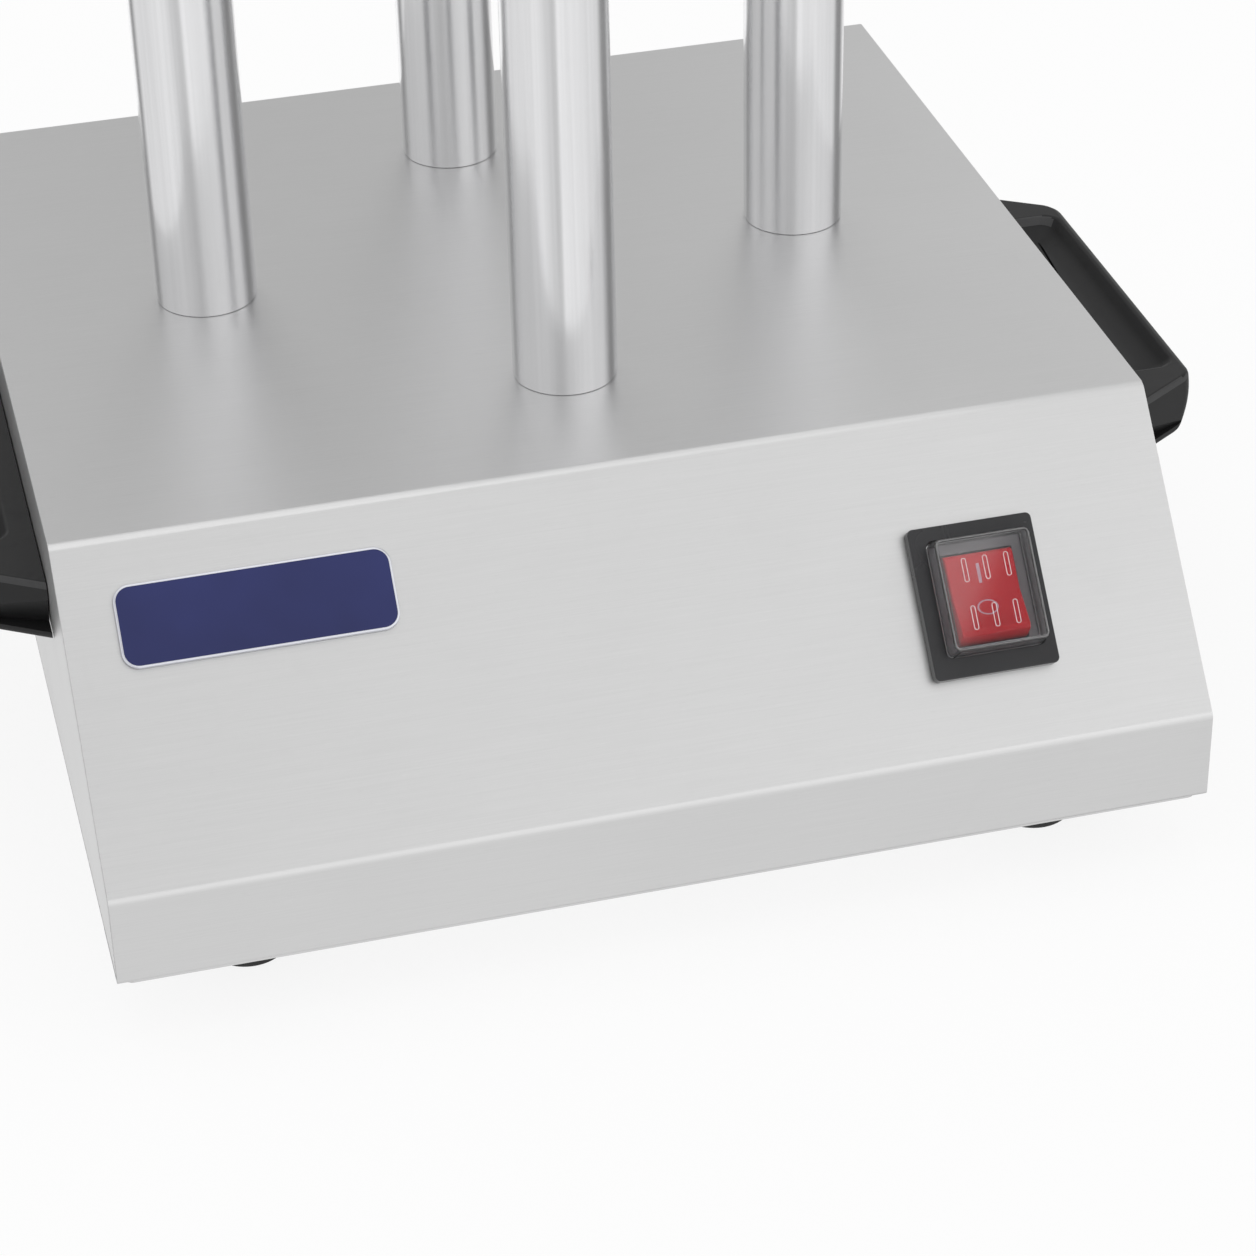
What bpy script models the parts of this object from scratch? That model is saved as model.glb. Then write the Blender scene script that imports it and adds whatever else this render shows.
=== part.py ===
"""Hot dog spike machine: a folded stainless housing with heated spikes, side handles and a switch.

Metres, +Z up. The front faces -Y. The origin is on the ground, in the middle of the overall length
and width.
"""

import math

import bmesh
import bpy
from mathutils import Matrix, Vector

# Clearances
GAP = 0.0003
LEAST_RADIUS = 0.0001
PIVOT_GAP = 0.0002
OVERRUN = 0.002

# Housing sheet
HOUSING_WIDTH = 0.266
HOUSING_DEPTH = 0.280
STRIP_HEIGHT = 0.0234
SLOPE_RUN = 0.0554
SLOPE_RISE = 0.0617
SHEET = 0.001
BEND_RADIUS = 0.003
BOTTOM_BEND_RADIUS = 0.0014
BOTTOM_FLANGE = 0.022
SIDE_FLANGE = 0.012
BASE_MARGIN = 0.002

# Base plate vents
VENT_WIDTH = 0.003
VENT_LENGTH = 0.040
VENT_PITCH = 0.009
VENT_FIRST_X = 0.045
VENT_CENTRE_Y = 0.085
VENTS_A_SIDE = 5

# Feet
FOOT_TOP_DIAMETER = 0.024
FOOT_GROUND_DIAMETER = 0.020
FOOT_HEIGHT = 0.015
FOOT_EDGE_ROUND = 0.0012
FOOT_WEB = 0.006
FOOT_POCKET_DIAMETER = 0.0100
FOOT_FROM_SIDE = 0.034
FOOT_FROM_FRONT = 0.029
COLLAR_WALL = 0.0013
COLLAR_HEIGHT = 0.002

# Pan head screws
SCREW_DIAMETER = 0.004
SCREW_HEAD_DIAMETER = 0.008
SCREW_HEAD_HEIGHT = 0.0024
SCREW_HEAD_ROUND = 0.0009
SCREW_PROUD = 0.004
BASE_SCREW_FROM_SIDE = 0.073

# Spikes
SPIKE_DIAMETER = 0.0257
SPIKE_HEIGHT = 0.200
SPIKE_TIP_LENGTH = 0.022
SPIKE_FOOT_CHAMFER = 0.0004
SPIKE_NECK_DIAMETER = 0.016
SPIKE_NECK_LENGTH = 0.013
SPIKE_FROM_SIDE = 0.0549
SPIKE_FROM_FOLD = 0.0462
SPIKE_FROM_REAR = 0.0480
WASHER_DIAMETER = 0.028
WASHER_THICKNESS = 0.0015
NUT_ACROSS_FLATS = 0.024
NUT_THICKNESS = 0.008
HEATER_DIAMETER = 0.0094
HEATER_LENGTH = 0.150
HEATER_PROUD = 0.002
HEATER_CHAMFER = 0.0008

# Side handles
HANDLE_REACH = 0.0290
HANDLE_HEIGHT = 0.0158
HANDLE_BELOW_TOP = 0.0206
HANDLE_LENGTH = 0.135
HANDLE_END_SLANT = math.radians(32.7)
HANDLE_CORNER_ROUND = 0.007
HANDLE_TOP_DROP = 0.0009
HANDLE_FOOT_DROP = 0.0028
HANDLE_WIDEST_SHARE = 0.60
HANDLE_EDGE_ROUND = 0.0008
SCOOP_DEPTH = 0.0045
SCOOP_RIM = 0.0022
SCOOP_WALL_SIDE = 0.0060
SCOOP_LENGTH = 0.0890
SCOOP_CORNER = 0.0045
SCOOP_DRAFT = 0.0036
GRIP_DEPTH = 0.0080
GRIP_WALL = 0.0045
GRIP_WALL_SIDE = 0.0040
GRIP_LENGTH = 0.0840
GRIP_CORNER = 0.0060
LIP_HEIGHT = 0.0023
WEDGE_DEPTH = 0.0034
WEDGE_OUTER_DEPTH = 0.0002
WEDGE_FROM_CORNER = 0.0030
WEDGE_WALL_HEIGHT = 0.0072
HANDLE_SCREW_FROM_END = 0.018
HANDLE_SCREW_ABOVE_LIP = 0.0077
HANDLE_SCREW_LENGTH = 0.014

# Rocker switch
SWITCH_FROM_SIDE = 0.0507
SWITCH_UP_SLOPE = 0.0370
BEZEL_WIDTH = 0.0310
BEZEL_LENGTH = 0.0368
BEZEL_THICKNESS = 0.0030
BEZEL_CORNER = 0.0014
BEZEL_EDGE_ROUND = 0.0003
BEZEL_ASIDE = 0.0007
SWITCH_BODY_WIDTH = 0.0222
SWITCH_BODY_LENGTH = 0.0300
SWITCH_BODY_DEPTH = 0.0220
SWITCH_WELL_DEPTH = 0.0100
CAP_SEAT_DEPTH = 0.0012
CAP_WIDTH = 0.0242
CAP_LENGTH = 0.0282
CAP_FRONT_WIDTH = 0.0236
CAP_FRONT_LENGTH = 0.0270
CAP_ABOVE_MIDDLE = 0.00065
CAP_FRONT_LEVEL = 0.0092
CAP_WALL = 0.0008
CAP_CORNER = 0.0016
CAP_EDGE_ROUND = 0.0008
ROCKER_WIDTH = 0.0170
ROCKER_HALF_LENGTH = 0.0109
ROCKER_FACE_LEVEL = 0.0033
ROCKER_PIVOT_LEVEL = -0.0006
ROCKER_BELOW_PIVOT = 0.0032
ROCKER_END_SHOULDER = 0.0008
ROCKER_TRAVEL = math.radians(18)
PIVOT_PIN_DIAMETER = 0.0024
PIVOT_PIN_LENGTH = 0.0014
TERMINAL_WIDTH = 0.0063
TERMINAL_THICKNESS = 0.0008
TERMINAL_LENGTH = 0.0080
TERMINAL_SPREAD_X = 0.0055
TERMINAL_SPREAD_Y = 0.0080

# Name badge, left bare
BADGE_WIDTH = 0.0646
BADGE_HEIGHT = 0.0196
BADGE_THICKNESS = 0.0012
BADGE_CORNER = 0.0040
BADGE_FROM_SIDE = 0.0123
BADGE_UP_SLOPE = 0.0615

# Cable gland, at the back
GLAND_FROM_SIDE = 0.063
GLAND_ABOVE_BOTTOM = 0.027
GLAND_THREAD_DIAMETER = 0.0160
GLAND_HEX = 0.0220
GLAND_HEX_THICKNESS = 0.0050
GLAND_INSIDE = 0.0100
GLAND_BORE = 0.0080
GLAND_NECK_DIAMETER = 0.0140
GLAND_NECK_LENGTH = 0.0060
DOME_LENGTH = 0.0130
DOME_END_DIAMETER = 0.0130
DOME_WALL_ROUND = 0.0030
LOCK_NUT_HEX = 0.0210
LOCK_NUT_THICKNESS = 0.0050

# Terminal block and earth point
BLOCK_WIDTH = 0.064
BLOCK_LENGTH = 0.020
BLOCK_HEIGHT = 0.016
BLOCK_POLE_PITCH = 0.010
BLOCK_POLES = 6
BLOCK_WELL_DIAMETER = 0.0044
BLOCK_WELL_DEPTH = 0.0050
BLOCK_WEB = 0.0060
BLOCK_CHAMFER = 0.0010
EARTH_FROM_SIDE = 0.073
EARTH_FROM_REAR = 0.065
LUG_DIAMETER = 0.0090
LUG_THICKNESS = 0.0010
LUG_TONGUE = 0.0060
SMALL_NUT_HEX = 0.0070
SMALL_NUT_THICKNESS = 0.0032

# Leads
HEATER_LEAD_DIAMETER = 0.0036
SWITCH_LEAD_DIAMETER = 0.0056
EARTH_LEAD_DIAMETER = 0.0028
LEAD_DROP = 0.024
LEAD_RUN_IN = 0.012
LEAD_HEIGHT = 0.0085
BOOT_WIDTH = 0.0180
BOOT_LENGTH = 0.0240
BOOT_THICKNESS = 0.0050
BOOT_CORNER = 0.0025

# Facets
ROUND_SIDES = 32
FOOT_SIDES = 24
SMALL_SIDES = 12
ARC_STEPS = 4
TIP_STEPS = 6
LEAD_SIDES = 8
ROUTE_STEPS = 5

# Places worked out from the sizes above
GLAND_REACH = GLAND_HEX_THICKNESS + DOME_LENGTH + 2 * GAP
FRONT_Y = -(HOUSING_DEPTH + GLAND_REACH) / 2
BASE_BOTTOM = FOOT_HEIGHT + GAP
BASE_TOP = BASE_BOTTOM + SHEET
HOUSING_BOTTOM = BASE_TOP + GAP
HOUSING_HEIGHT = STRIP_HEIGHT + SLOPE_RISE
HOUSING_TOP = HOUSING_BOTTOM + HOUSING_HEIGHT
HALF_WIDTH = HOUSING_WIDTH / 2
SLOPE_ANGLE = math.atan2(SLOPE_RISE, SLOPE_RUN)
SWITCH_X = HALF_WIDTH - SWITCH_FROM_SIDE
EARTH_X = HALF_WIDTH - EARTH_FROM_SIDE
EARTH_Y = FRONT_Y + HOUSING_DEPTH - EARTH_FROM_REAR
SCREW_HOLE_DIAMETER = SCREW_DIAMETER + 2 * GAP
SEAT = Matrix.Identity(4)


def from_front(distance):
    """The Y of a place this far behind the housing's front face."""
    return FRONT_Y + distance


def clear_scene():
    for thing in list(bpy.data.objects):
        bpy.data.objects.remove(thing, do_unlink=True)


def finish(name, colour, roughness, metallic=0.0, alpha=1.0):
    """A plain Principled material."""
    material = bpy.data.materials.get(name) or bpy.data.materials.new(name)
    material.use_nodes = True
    shader = material.node_tree.nodes["Principled BSDF"]
    shader.inputs["Base Color"].default_value = (*colour, 1.0)
    shader.inputs["Roughness"].default_value = roughness
    shader.inputs["Metallic"].default_value = metallic
    shader.inputs["Alpha"].default_value = alpha
    material.diffuse_color = (*colour, alpha)
    return material


def stainless():
    return finish("brushed_stainless", (0.56, 0.56, 0.55), 0.32, metallic=1.0)


def heater_steel():
    return finish("heater_sheath", (0.42, 0.41, 0.39), 0.45, metallic=1.0)


def spike_metal():
    return finish("satin_aluminium", (0.60, 0.60, 0.61), 0.28, metallic=1.0)


def zinc():
    return finish("zinc_plated_steel", (0.50, 0.50, 0.48), 0.35, metallic=1.0)


def brass():
    return finish("brass", (0.70, 0.48, 0.18), 0.35, metallic=1.0)


def black_plastic():
    return finish("black_plastic", (0.035, 0.035, 0.036), 0.42)


def black_rubber():
    return finish("black_rubber", (0.02, 0.02, 0.02), 0.8)


def red_plastic():
    return finish("red_plastic", (0.50, 0.03, 0.04), 0.3)


def clear_plastic():
    return finish("clear_plastic", (0.85, 0.85, 0.88), 0.12, alpha=0.3)


def navy_enamel():
    return finish("navy_enamel", (0.035, 0.04, 0.14), 0.3)


def white_ceramic():
    return finish("white_ceramic", (0.78, 0.76, 0.72), 0.35)


def lead_sleeve():
    return finish("glass_fibre_sleeve", (0.62, 0.60, 0.55), 0.8)


def earth_sleeve():
    return finish("earth_sleeve", (0.25, 0.45, 0.05), 0.5)


def object_from(name, shape, material, place=SEAT):
    """Turns a bmesh into an object at place, with its faces pointing out."""
    bmesh.ops.recalc_face_normals(shape, faces=shape.faces)
    mesh = bpy.data.meshes.new(name)
    shape.to_mesh(mesh)
    shape.free()
    made = bpy.data.objects.new(name, mesh)
    made.matrix_world = place
    bpy.context.scene.collection.objects.link(made)
    if material:
        mesh.materials.append(material)
    return made


def smooth(made, angle=math.radians(35)):
    made.data.shade_smooth()
    made.data.set_sharp_from_angle(angle=angle)
    return made


def lofted(name, rings, material, place=SEAT):
    """A closed body through rings of 3D points, with flat ends on the first and last ring."""
    shape = bmesh.new()
    loops = [[shape.verts.new(point) for point in ring] for ring in rings]
    for lower, upper in zip(loops, loops[1:]):
        for index in range(len(lower)):
            after = (index + 1) % len(lower)
            shape.faces.new((lower[index], lower[after], upper[after], upper[index]))
    shape.faces.new(loops[0][::-1])
    shape.faces.new(loops[-1])
    return object_from(name, shape, material, place)


def turned(name, profile, sides, material, place=SEAT, closed=False):
    """A body turned about local Z from (radius, height) points. A closed profile leaves a bore."""
    shape = bmesh.new()
    loops = []
    for radius, height in profile:
        count = sides if radius > 0 else 1
        turns = (math.tau * index / sides for index in range(count))
        ring = [shape.verts.new((radius * math.cos(a), radius * math.sin(a), height)) for a in turns]
        loops.append(ring)
    pairs = list(zip(loops, loops[1:]))
    if closed:
        pairs.append((loops[-1], loops[0]))
    for lower, upper in pairs:
        for index in range(sides):
            corners = []
            for loop, step in ((lower, index), (lower, index + 1), (upper, index + 1), (upper, index)):
                corner = loop[step % len(loop)]
                if corner not in corners:
                    corners.append(corner)
            shape.faces.new(corners)
    if not closed:
        for loop in (loops[0], loops[-1]):
            if len(loop) > 1:
                shape.faces.new(loop)
    return smooth(object_from(name, shape, material, place))


def rounded_corner(corner, before, after, radius, steps):
    """Points of an arc that rounds a 2D corner between its neighbours."""
    into = (corner - before).normalized()
    out = (after - corner).normalized()
    turn = into.angle_signed(out)
    radius = max(radius, LEAST_RADIUS)
    reach = radius * math.tan(abs(turn) / 2)
    side = -1 if turn > 0 else 1
    centre = corner - into * reach + Vector((-into.y, into.x)) * radius * side
    start = corner - into * reach - centre
    points = []
    for step in range(steps + 1):
        angle = -turn * step / steps
        spun = Matrix.Rotation(angle, 2) @ start
        points.append(centre + spun)
    return points


def offset_path(corners, inset, radii, closed, steps=ARC_STEPS):
    """A 2D path moved to its right by inset. Corners keep their centres, so radii shrink by it."""
    count = len(corners)
    lines = []
    for index in range(count if closed else count - 1):
        first = Vector(corners[index])
        last = Vector(corners[(index + 1) % count])
        along = (last - first).normalized()
        shift = Vector((along.y, -along.x)) * inset
        lines.append((first + shift, last + shift, along))
    moved = []
    for index in range(count):
        if not closed and index in (0, count - 1):
            moved.append(lines[0][0] if index == 0 else lines[-1][1])
            continue
        first, _, along = lines[index - 1]
        second, _, next_along = lines[index]
        cross = along.x * next_along.y - along.y * next_along.x
        ahead = ((second.x - first.x) * next_along.y - (second.y - first.y) * next_along.x) / cross
        moved.append(first + along * ahead)
    points = []
    for index, corner in enumerate(moved):
        if not closed and index in (0, count - 1):
            points.append(corner)
            continue
        before = moved[index - 1]
        after = moved[(index + 1) % count]
        points.extend(rounded_corner(corner, before, after, radii[index] - inset, steps))
    return points


def rectangle(width, length):
    half_x = width / 2
    half_y = length / 2
    return [(-half_x, -half_y), (-half_x, half_y), (half_x, half_y), (half_x, -half_y)]


def rounded_rectangle(width, length, radius, steps=ARC_STEPS):
    return offset_path(rectangle(width, length), 0, [radius] * 4, closed=True, steps=steps)


def level(outline, height):
    """A 2D outline as a ring of 3D points at this height."""
    return [(point[0], point[1], height) for point in outline]


def prism(name, outline, bottom, top, material, place=SEAT):
    return lofted(name, [level(outline, bottom), level(outline, top)], material, place)


def hexagon(across_flats):
    radius = across_flats / math.sqrt(3)
    return [
        (radius * math.cos(math.pi * corner / 3), radius * math.sin(math.pi * corner / 3))
        for corner in range(6)
    ]


def circle(diameter, sides, centre=(0, 0)):
    return [
        (
            centre[0] + diameter / 2 * math.cos(math.tau * index / sides),
            centre[1] + diameter / 2 * math.sin(math.tau * index / sides),
        )
        for index in range(sides)
    ]


def boolean(target, helper, operation):
    """Cuts a hidden helper from the target, or joins it on."""
    helper.hide_render = True
    helper.display_type = "WIRE"
    modifier = target.modifiers.new(helper.name, "BOOLEAN")
    modifier.operation = operation
    modifier.object = helper
    modifier.solver = "EXACT"
    return target


def cut(target, *cutters):
    for cutter in cutters:
        boolean(target, cutter, "DIFFERENCE")
    return target


def join(target, *extras):
    for extra in extras:
        boolean(target, extra, "UNION")
    return target


def move(x, y, z):
    return Matrix.Translation((x, y, z))


def turn(angle, axis):
    return Matrix.Rotation(angle, 4, axis)


def slope_place(x, up, out=0):
    """A place on the sloping panel: local Y runs up the slope and local Z points out of it."""
    corner = move(0, from_front(0), HOUSING_BOTTOM + STRIP_HEIGHT)
    return corner @ turn(SLOPE_ANGLE, "X") @ move(x, up, out)


def spike_places():
    """Spike names and their (x, y) places, a diamond with one spike at the front."""
    front = from_front(SLOPE_RUN + SPIKE_FROM_FOLD)
    rear = from_front(HOUSING_DEPTH - SPIKE_FROM_REAR)
    middle = (front + rear) / 2
    sideways = HALF_WIDTH - SPIKE_FROM_SIDE
    return {
        "front": (0, front),
        "left": (-sideways, middle),
        "right": (sideways, middle),
        "rear": (0, rear),
    }


def corner_places(from_middle, from_end):
    """Four places, the same distance from the housing's middle and in from its ends."""
    places = {}
    for end, y in (("front", from_front(from_end)), ("rear", from_front(HOUSING_DEPTH - from_end))):
        for side, x in (("left", -from_middle), ("right", from_middle)):
            places[f"{end}_{side}"] = (x, y)
    return places


def foot_places():
    return corner_places(HALF_WIDTH - FOOT_FROM_SIDE, FOOT_FROM_FRONT)


def base_screw_places():
    return corner_places(HALF_WIDTH - BASE_SCREW_FROM_SIDE, BOTTOM_FLANGE / 2)


def handle_bottom():
    return HOUSING_TOP - HANDLE_BELOW_TOP - HANDLE_HEIGHT


def handle_screw_places():
    """The (y, z) places of the screws that hold a handle."""
    middle = from_front(HOUSING_DEPTH / 2)
    reach = HANDLE_LENGTH / 2 - HANDLE_SCREW_FROM_END
    height = handle_bottom() + HANDLE_SCREW_ABOVE_LIP
    return {"front": (middle - reach, height), "rear": (middle + reach, height)}


def side_corners():
    """The housing seen from its right side, as (y, z) corners from the front bottom edge upwards."""
    bottom = HOUSING_BOTTOM
    return [
        (from_front(0), bottom),
        (from_front(0), bottom + STRIP_HEIGHT),
        (from_front(SLOPE_RUN), HOUSING_TOP),
        (from_front(HOUSING_DEPTH), HOUSING_TOP),
        (from_front(HOUSING_DEPTH), bottom),
    ]


def side_radii():
    """The outer radii at side_corners: tight at the bottom edges, softer at the folds above."""
    return [BOTTOM_BEND_RADIUS, BEND_RADIUS, BEND_RADIUS, BEND_RADIUS, BOTTOM_BEND_RADIUS]


def across(outline, x):
    """A (y, z) outline as a ring of 3D points at this x."""
    return [(x, point[0], point[1]) for point in outline]


def make_housing_wrap():
    """One folded sheet: bottom flange, strip, slope, top, back and rear flange."""
    corners = side_corners()
    front_end = (from_front(BOTTOM_FLANGE), HOUSING_BOTTOM)
    rear_end = (from_front(HOUSING_DEPTH - BOTTOM_FLANGE), HOUSING_BOTTOM)
    path = [front_end, *corners, rear_end]
    radii = [0, *side_radii(), 0]
    outside = offset_path(path, 0, radii, closed=False)
    inside = offset_path(path, SHEET, radii, closed=False)
    outline = outside + inside[::-1]
    ends = [across(outline, -HALF_WIDTH), across(outline, HALF_WIDTH)]
    wrap = lofted("housing_wrap", ends, stainless())
    smooth(wrap, math.radians(25))
    cut(wrap, *housing_holes())
    return wrap


def housing_holes():
    """Cutters for the spike necks, the switch, the gland and the base plate screws."""
    cutters = []
    hole = SPIKE_NECK_DIAMETER + 2 * GAP
    for name, (x, y) in spike_places().items():
        outline = circle(hole, ROUND_SIDES, (x, y))
        low = HOUSING_TOP - SHEET - OVERRUN
        cutters.append(prism(f"cut_spike_{name}", outline, low, HOUSING_TOP + OVERRUN, None))
    outline = rectangle(SWITCH_BODY_WIDTH + 2 * GAP, SWITCH_BODY_LENGTH + 2 * GAP)
    place = slope_place(SWITCH_X, SWITCH_UP_SLOPE)
    cutters.append(prism("cut_switch", outline, -SHEET - OVERRUN, OVERRUN, None, place))
    outline = circle(GLAND_THREAD_DIAMETER + 2 * GAP, FOOT_SIDES)
    cutters.append(prism("cut_gland", outline, -OVERRUN, SHEET + OVERRUN, None, gland_place()))
    for name, (x, y) in base_screw_places().items():
        outline = circle(SCREW_HOLE_DIAMETER, SMALL_SIDES, (x, y))
        low = HOUSING_BOTTOM - OVERRUN
        high = HOUSING_BOTTOM + SHEET + OVERRUN
        cutters.append(prism(f"cut_flange_{name}", outline, low, high, None))
    return cutters


def make_side_panels():
    """Flanged side sheets that fill the folded sheet's ends, flush with its edges."""
    edge = SHEET + GAP
    outside = offset_path(side_corners(), edge, side_radii(), closed=True)
    inside = offset_path(side_corners(), edge + SHEET, side_radii(), closed=True)
    for side, sign in (("left", -1), ("right", 1)):
        rings = [
            across(inside, sign * (HALF_WIDTH - SHEET)),
            across(inside, sign * (HALF_WIDTH - SIDE_FLANGE)),
            across(outside, sign * (HALF_WIDTH - SIDE_FLANGE)),
            across(outside, sign * HALF_WIDTH),
        ]
        panel = lofted(f"side_panel_{side}", rings, stainless())
        for end, (y, z) in handle_screw_places().items():
            outline = circle(SCREW_HOLE_DIAMETER, SMALL_SIDES)
            place = move(sign * HALF_WIDTH, y, z) @ turn(math.pi / 2, "Y")
            reach = SHEET + OVERRUN
            cut(panel, prism(f"cut_panel_{side}_{end}", outline, -reach, reach, None, place))


def make_base_plate():
    """The flat bottom sheet, with vent slots and drawn collars for the foot screws."""
    width = HOUSING_WIDTH - 2 * BASE_MARGIN
    length = HOUSING_DEPTH - 2 * BASE_MARGIN
    outline = rounded_rectangle(width, length, BASE_MARGIN)
    place = move(0, from_front(HOUSING_DEPTH / 2), 0)
    plate = prism("base_plate", outline, BASE_BOTTOM, BASE_TOP, stainless(), place)
    for name, (x, y) in foot_places().items():
        collar = circle(SCREW_HOLE_DIAMETER + 2 * COLLAR_WALL, SMALL_SIDES, (x, y))
        high = BASE_TOP + COLLAR_HEIGHT
        join(plate, prism(f"collar_{name}", collar, BASE_BOTTOM + SHEET / 2, high, None))
    holes = {f"foot_{name}": at for name, at in foot_places().items()}
    holes.update({f"edge_{name}": at for name, at in base_screw_places().items()})
    holes["earth"] = (EARTH_X, EARTH_Y)
    holes["block"] = (0, block_y())
    low = BASE_BOTTOM - OVERRUN
    high = BASE_TOP + COLLAR_HEIGHT + OVERRUN
    for name, at in holes.items():
        hole = circle(SCREW_HOLE_DIAMETER, SMALL_SIDES, at)
        cut(plate, prism(f"cut_base_{name}", hole, low, high, None))
    for side, sign in (("left", -1), ("right", 1)):
        for number in range(VENTS_A_SIDE):
            x = sign * (VENT_FIRST_X + number * VENT_PITCH)
            slot = rounded_rectangle(VENT_WIDTH, VENT_LENGTH, VENT_WIDTH / 2 - GAP, steps=2)
            at = move(x, from_front(VENT_CENTRE_Y), 0)
            cut(plate, prism(f"cut_vent_{side}_{number}", slot, low, high, None, at))


def make_screw(name, length, place):
    """A pan head screw: its head starts at local zero, and its shank runs up from it."""
    head = SCREW_HEAD_DIAMETER / 2
    shank = SCREW_DIAMETER / 2
    profile = [
        (0, -SCREW_HEAD_HEIGHT),
        (head - SCREW_HEAD_ROUND, -SCREW_HEAD_HEIGHT),
        (head, SCREW_HEAD_ROUND - SCREW_HEAD_HEIGHT),
        (head, 0),
        (shank, 0),
        (shank, length - shank / 2),
        (shank / 2, length),
        (0, length),
    ]
    return turned(name, profile, SMALL_SIDES, zinc(), place)


def make_nut(name, size, bore, material, place, sides=SMALL_SIDES):
    """A hexagon nut that stands on local zero. Its size is across its flats, then its thickness."""
    across_flats, thickness = size
    nut = prism(name, hexagon(across_flats), 0, thickness, material, place)
    opening = circle(bore, sides)
    return cut(nut, prism(f"cut_{name}", opening, -OVERRUN, thickness + OVERRUN, None, place))


def make_feet():
    """Tapered rubber feet, each with a pocket under it for its screw's head."""
    top = FOOT_TOP_DIAMETER / 2
    ground = FOOT_GROUND_DIAMETER / 2
    pocket = FOOT_POCKET_DIAMETER / 2
    hole = SCREW_HOLE_DIAMETER / 2
    seat = FOOT_HEIGHT - FOOT_WEB
    profile = [
        (pocket, 0),
        (ground - FOOT_EDGE_ROUND, 0),
        (ground, FOOT_EDGE_ROUND),
        (top, FOOT_HEIGHT - FOOT_EDGE_ROUND),
        (top - FOOT_EDGE_ROUND, FOOT_HEIGHT),
        (hole, FOOT_HEIGHT),
        (hole, seat),
        (pocket, seat),
    ]
    for name, (x, y) in foot_places().items():
        turned(f"foot_{name}", profile, FOOT_SIDES, black_rubber(), move(x, y, 0), closed=True)
        length = BASE_TOP + COLLAR_HEIGHT + SCREW_PROUD - seat
        make_screw(f"foot_screw_{name}", length, move(x, y, seat - GAP))


def make_base_screws():
    length = 2 * SHEET + GAP + SCREW_PROUD
    for name, (x, y) in base_screw_places().items():
        make_screw(f"base_screw_{name}", length, move(x, y, BASE_BOTTOM - GAP))


def spike_profile():
    """The solid spike with its threaded neck and the bore for its heater."""
    radius = SPIKE_DIAMETER / 2
    neck = SPIKE_NECK_DIAMETER / 2
    bore = HEATER_DIAMETER / 2 + GAP
    bottom = -GAP - SPIKE_NECK_LENGTH
    bore_top = bottom + HEATER_LENGTH - HEATER_PROUD + GAP
    profile = [
        (0, bore_top),
        (bore, bore_top),
        (bore, bottom),
        (neck, bottom),
        (neck, 0),
        (radius - SPIKE_FOOT_CHAMFER, 0),
        (radius, SPIKE_FOOT_CHAMFER),
    ]
    shoulder = SPIKE_HEIGHT - SPIKE_TIP_LENGTH
    for step in range(TIP_STEPS):
        angle = math.pi / 2 * step / TIP_STEPS
        profile.append((radius * math.cos(angle), shoulder + SPIKE_TIP_LENGTH * math.sin(angle)))
    profile.append((0, SPIKE_HEIGHT))
    return profile


def neck_bottom():
    return HOUSING_TOP - SPIKE_NECK_LENGTH


def heater_bottom():
    return neck_bottom() - HEATER_PROUD


def make_spikes():
    """Each spike stands on the top sheet, and a washer and nut under the sheet hold its neck."""
    heater = HEATER_DIAMETER / 2
    heater_profile = [
        (0, 0),
        (heater - HEATER_CHAMFER, 0),
        (heater, HEATER_CHAMFER),
        (heater, HEATER_LENGTH - HEATER_CHAMFER),
        (heater - HEATER_CHAMFER, HEATER_LENGTH),
        (0, HEATER_LENGTH),
    ]
    opening = SPIKE_NECK_DIAMETER / 2 + GAP
    washer_profile = [
        (opening, 0),
        (WASHER_DIAMETER / 2, 0),
        (WASHER_DIAMETER / 2, WASHER_THICKNESS),
        (opening, WASHER_THICKNESS),
    ]
    washer_z = HOUSING_TOP - SHEET - GAP - WASHER_THICKNESS
    nut_z = washer_z - GAP - NUT_THICKNESS
    hexagon_size = (NUT_ACROSS_FLATS, NUT_THICKNESS)
    for name, (x, y) in spike_places().items():
        place = move(x, y, HOUSING_TOP + GAP)
        turned(f"spike_{name}", spike_profile(), ROUND_SIDES, spike_metal(), place)
        place = move(x, y, heater_bottom())
        turned(f"heater_{name}", heater_profile, SMALL_SIDES, heater_steel(), place)
        place = move(x, y, washer_z)
        turned(f"spike_washer_{name}", washer_profile, FOOT_SIDES, zinc(), place, closed=True)
        place = move(x, y, nut_z)
        make_nut(f"spike_nut_{name}", hexagon_size, 2 * opening, zinc(), place, FOOT_SIDES)


def handle_outline(reach):
    """A handle seen from above, from its rear end at the wall round to its front end."""
    half = HANDLE_LENGTH / 2
    inward = reach * math.tan(HANDLE_END_SLANT)
    corners = [(0, half), (reach, half - inward), (reach, inward - half), (0, -half)]
    points = []
    for index, corner in enumerate(corners):
        if corner[0] == 0:
            points.append(Vector(corner))
            continue
        before = Vector(corners[index - 1])
        after = Vector(corners[index + 1])
        points.extend(rounded_corner(Vector(corner), before, after, HANDLE_CORNER_ROUND, 2 * ARC_STEPS))
    return points


def handle_reach(height):
    """How far the bowed outer face stands out at a height above the handle's bottom."""
    widest = HANDLE_HEIGHT * HANDLE_WIDEST_SHARE
    if height > widest:
        return HANDLE_REACH - HANDLE_TOP_DROP * ((height - widest) / (HANDLE_HEIGHT - widest)) ** 2
    return HANDLE_REACH - HANDLE_FOOT_DROP * ((widest - height) / widest) ** 2


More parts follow.
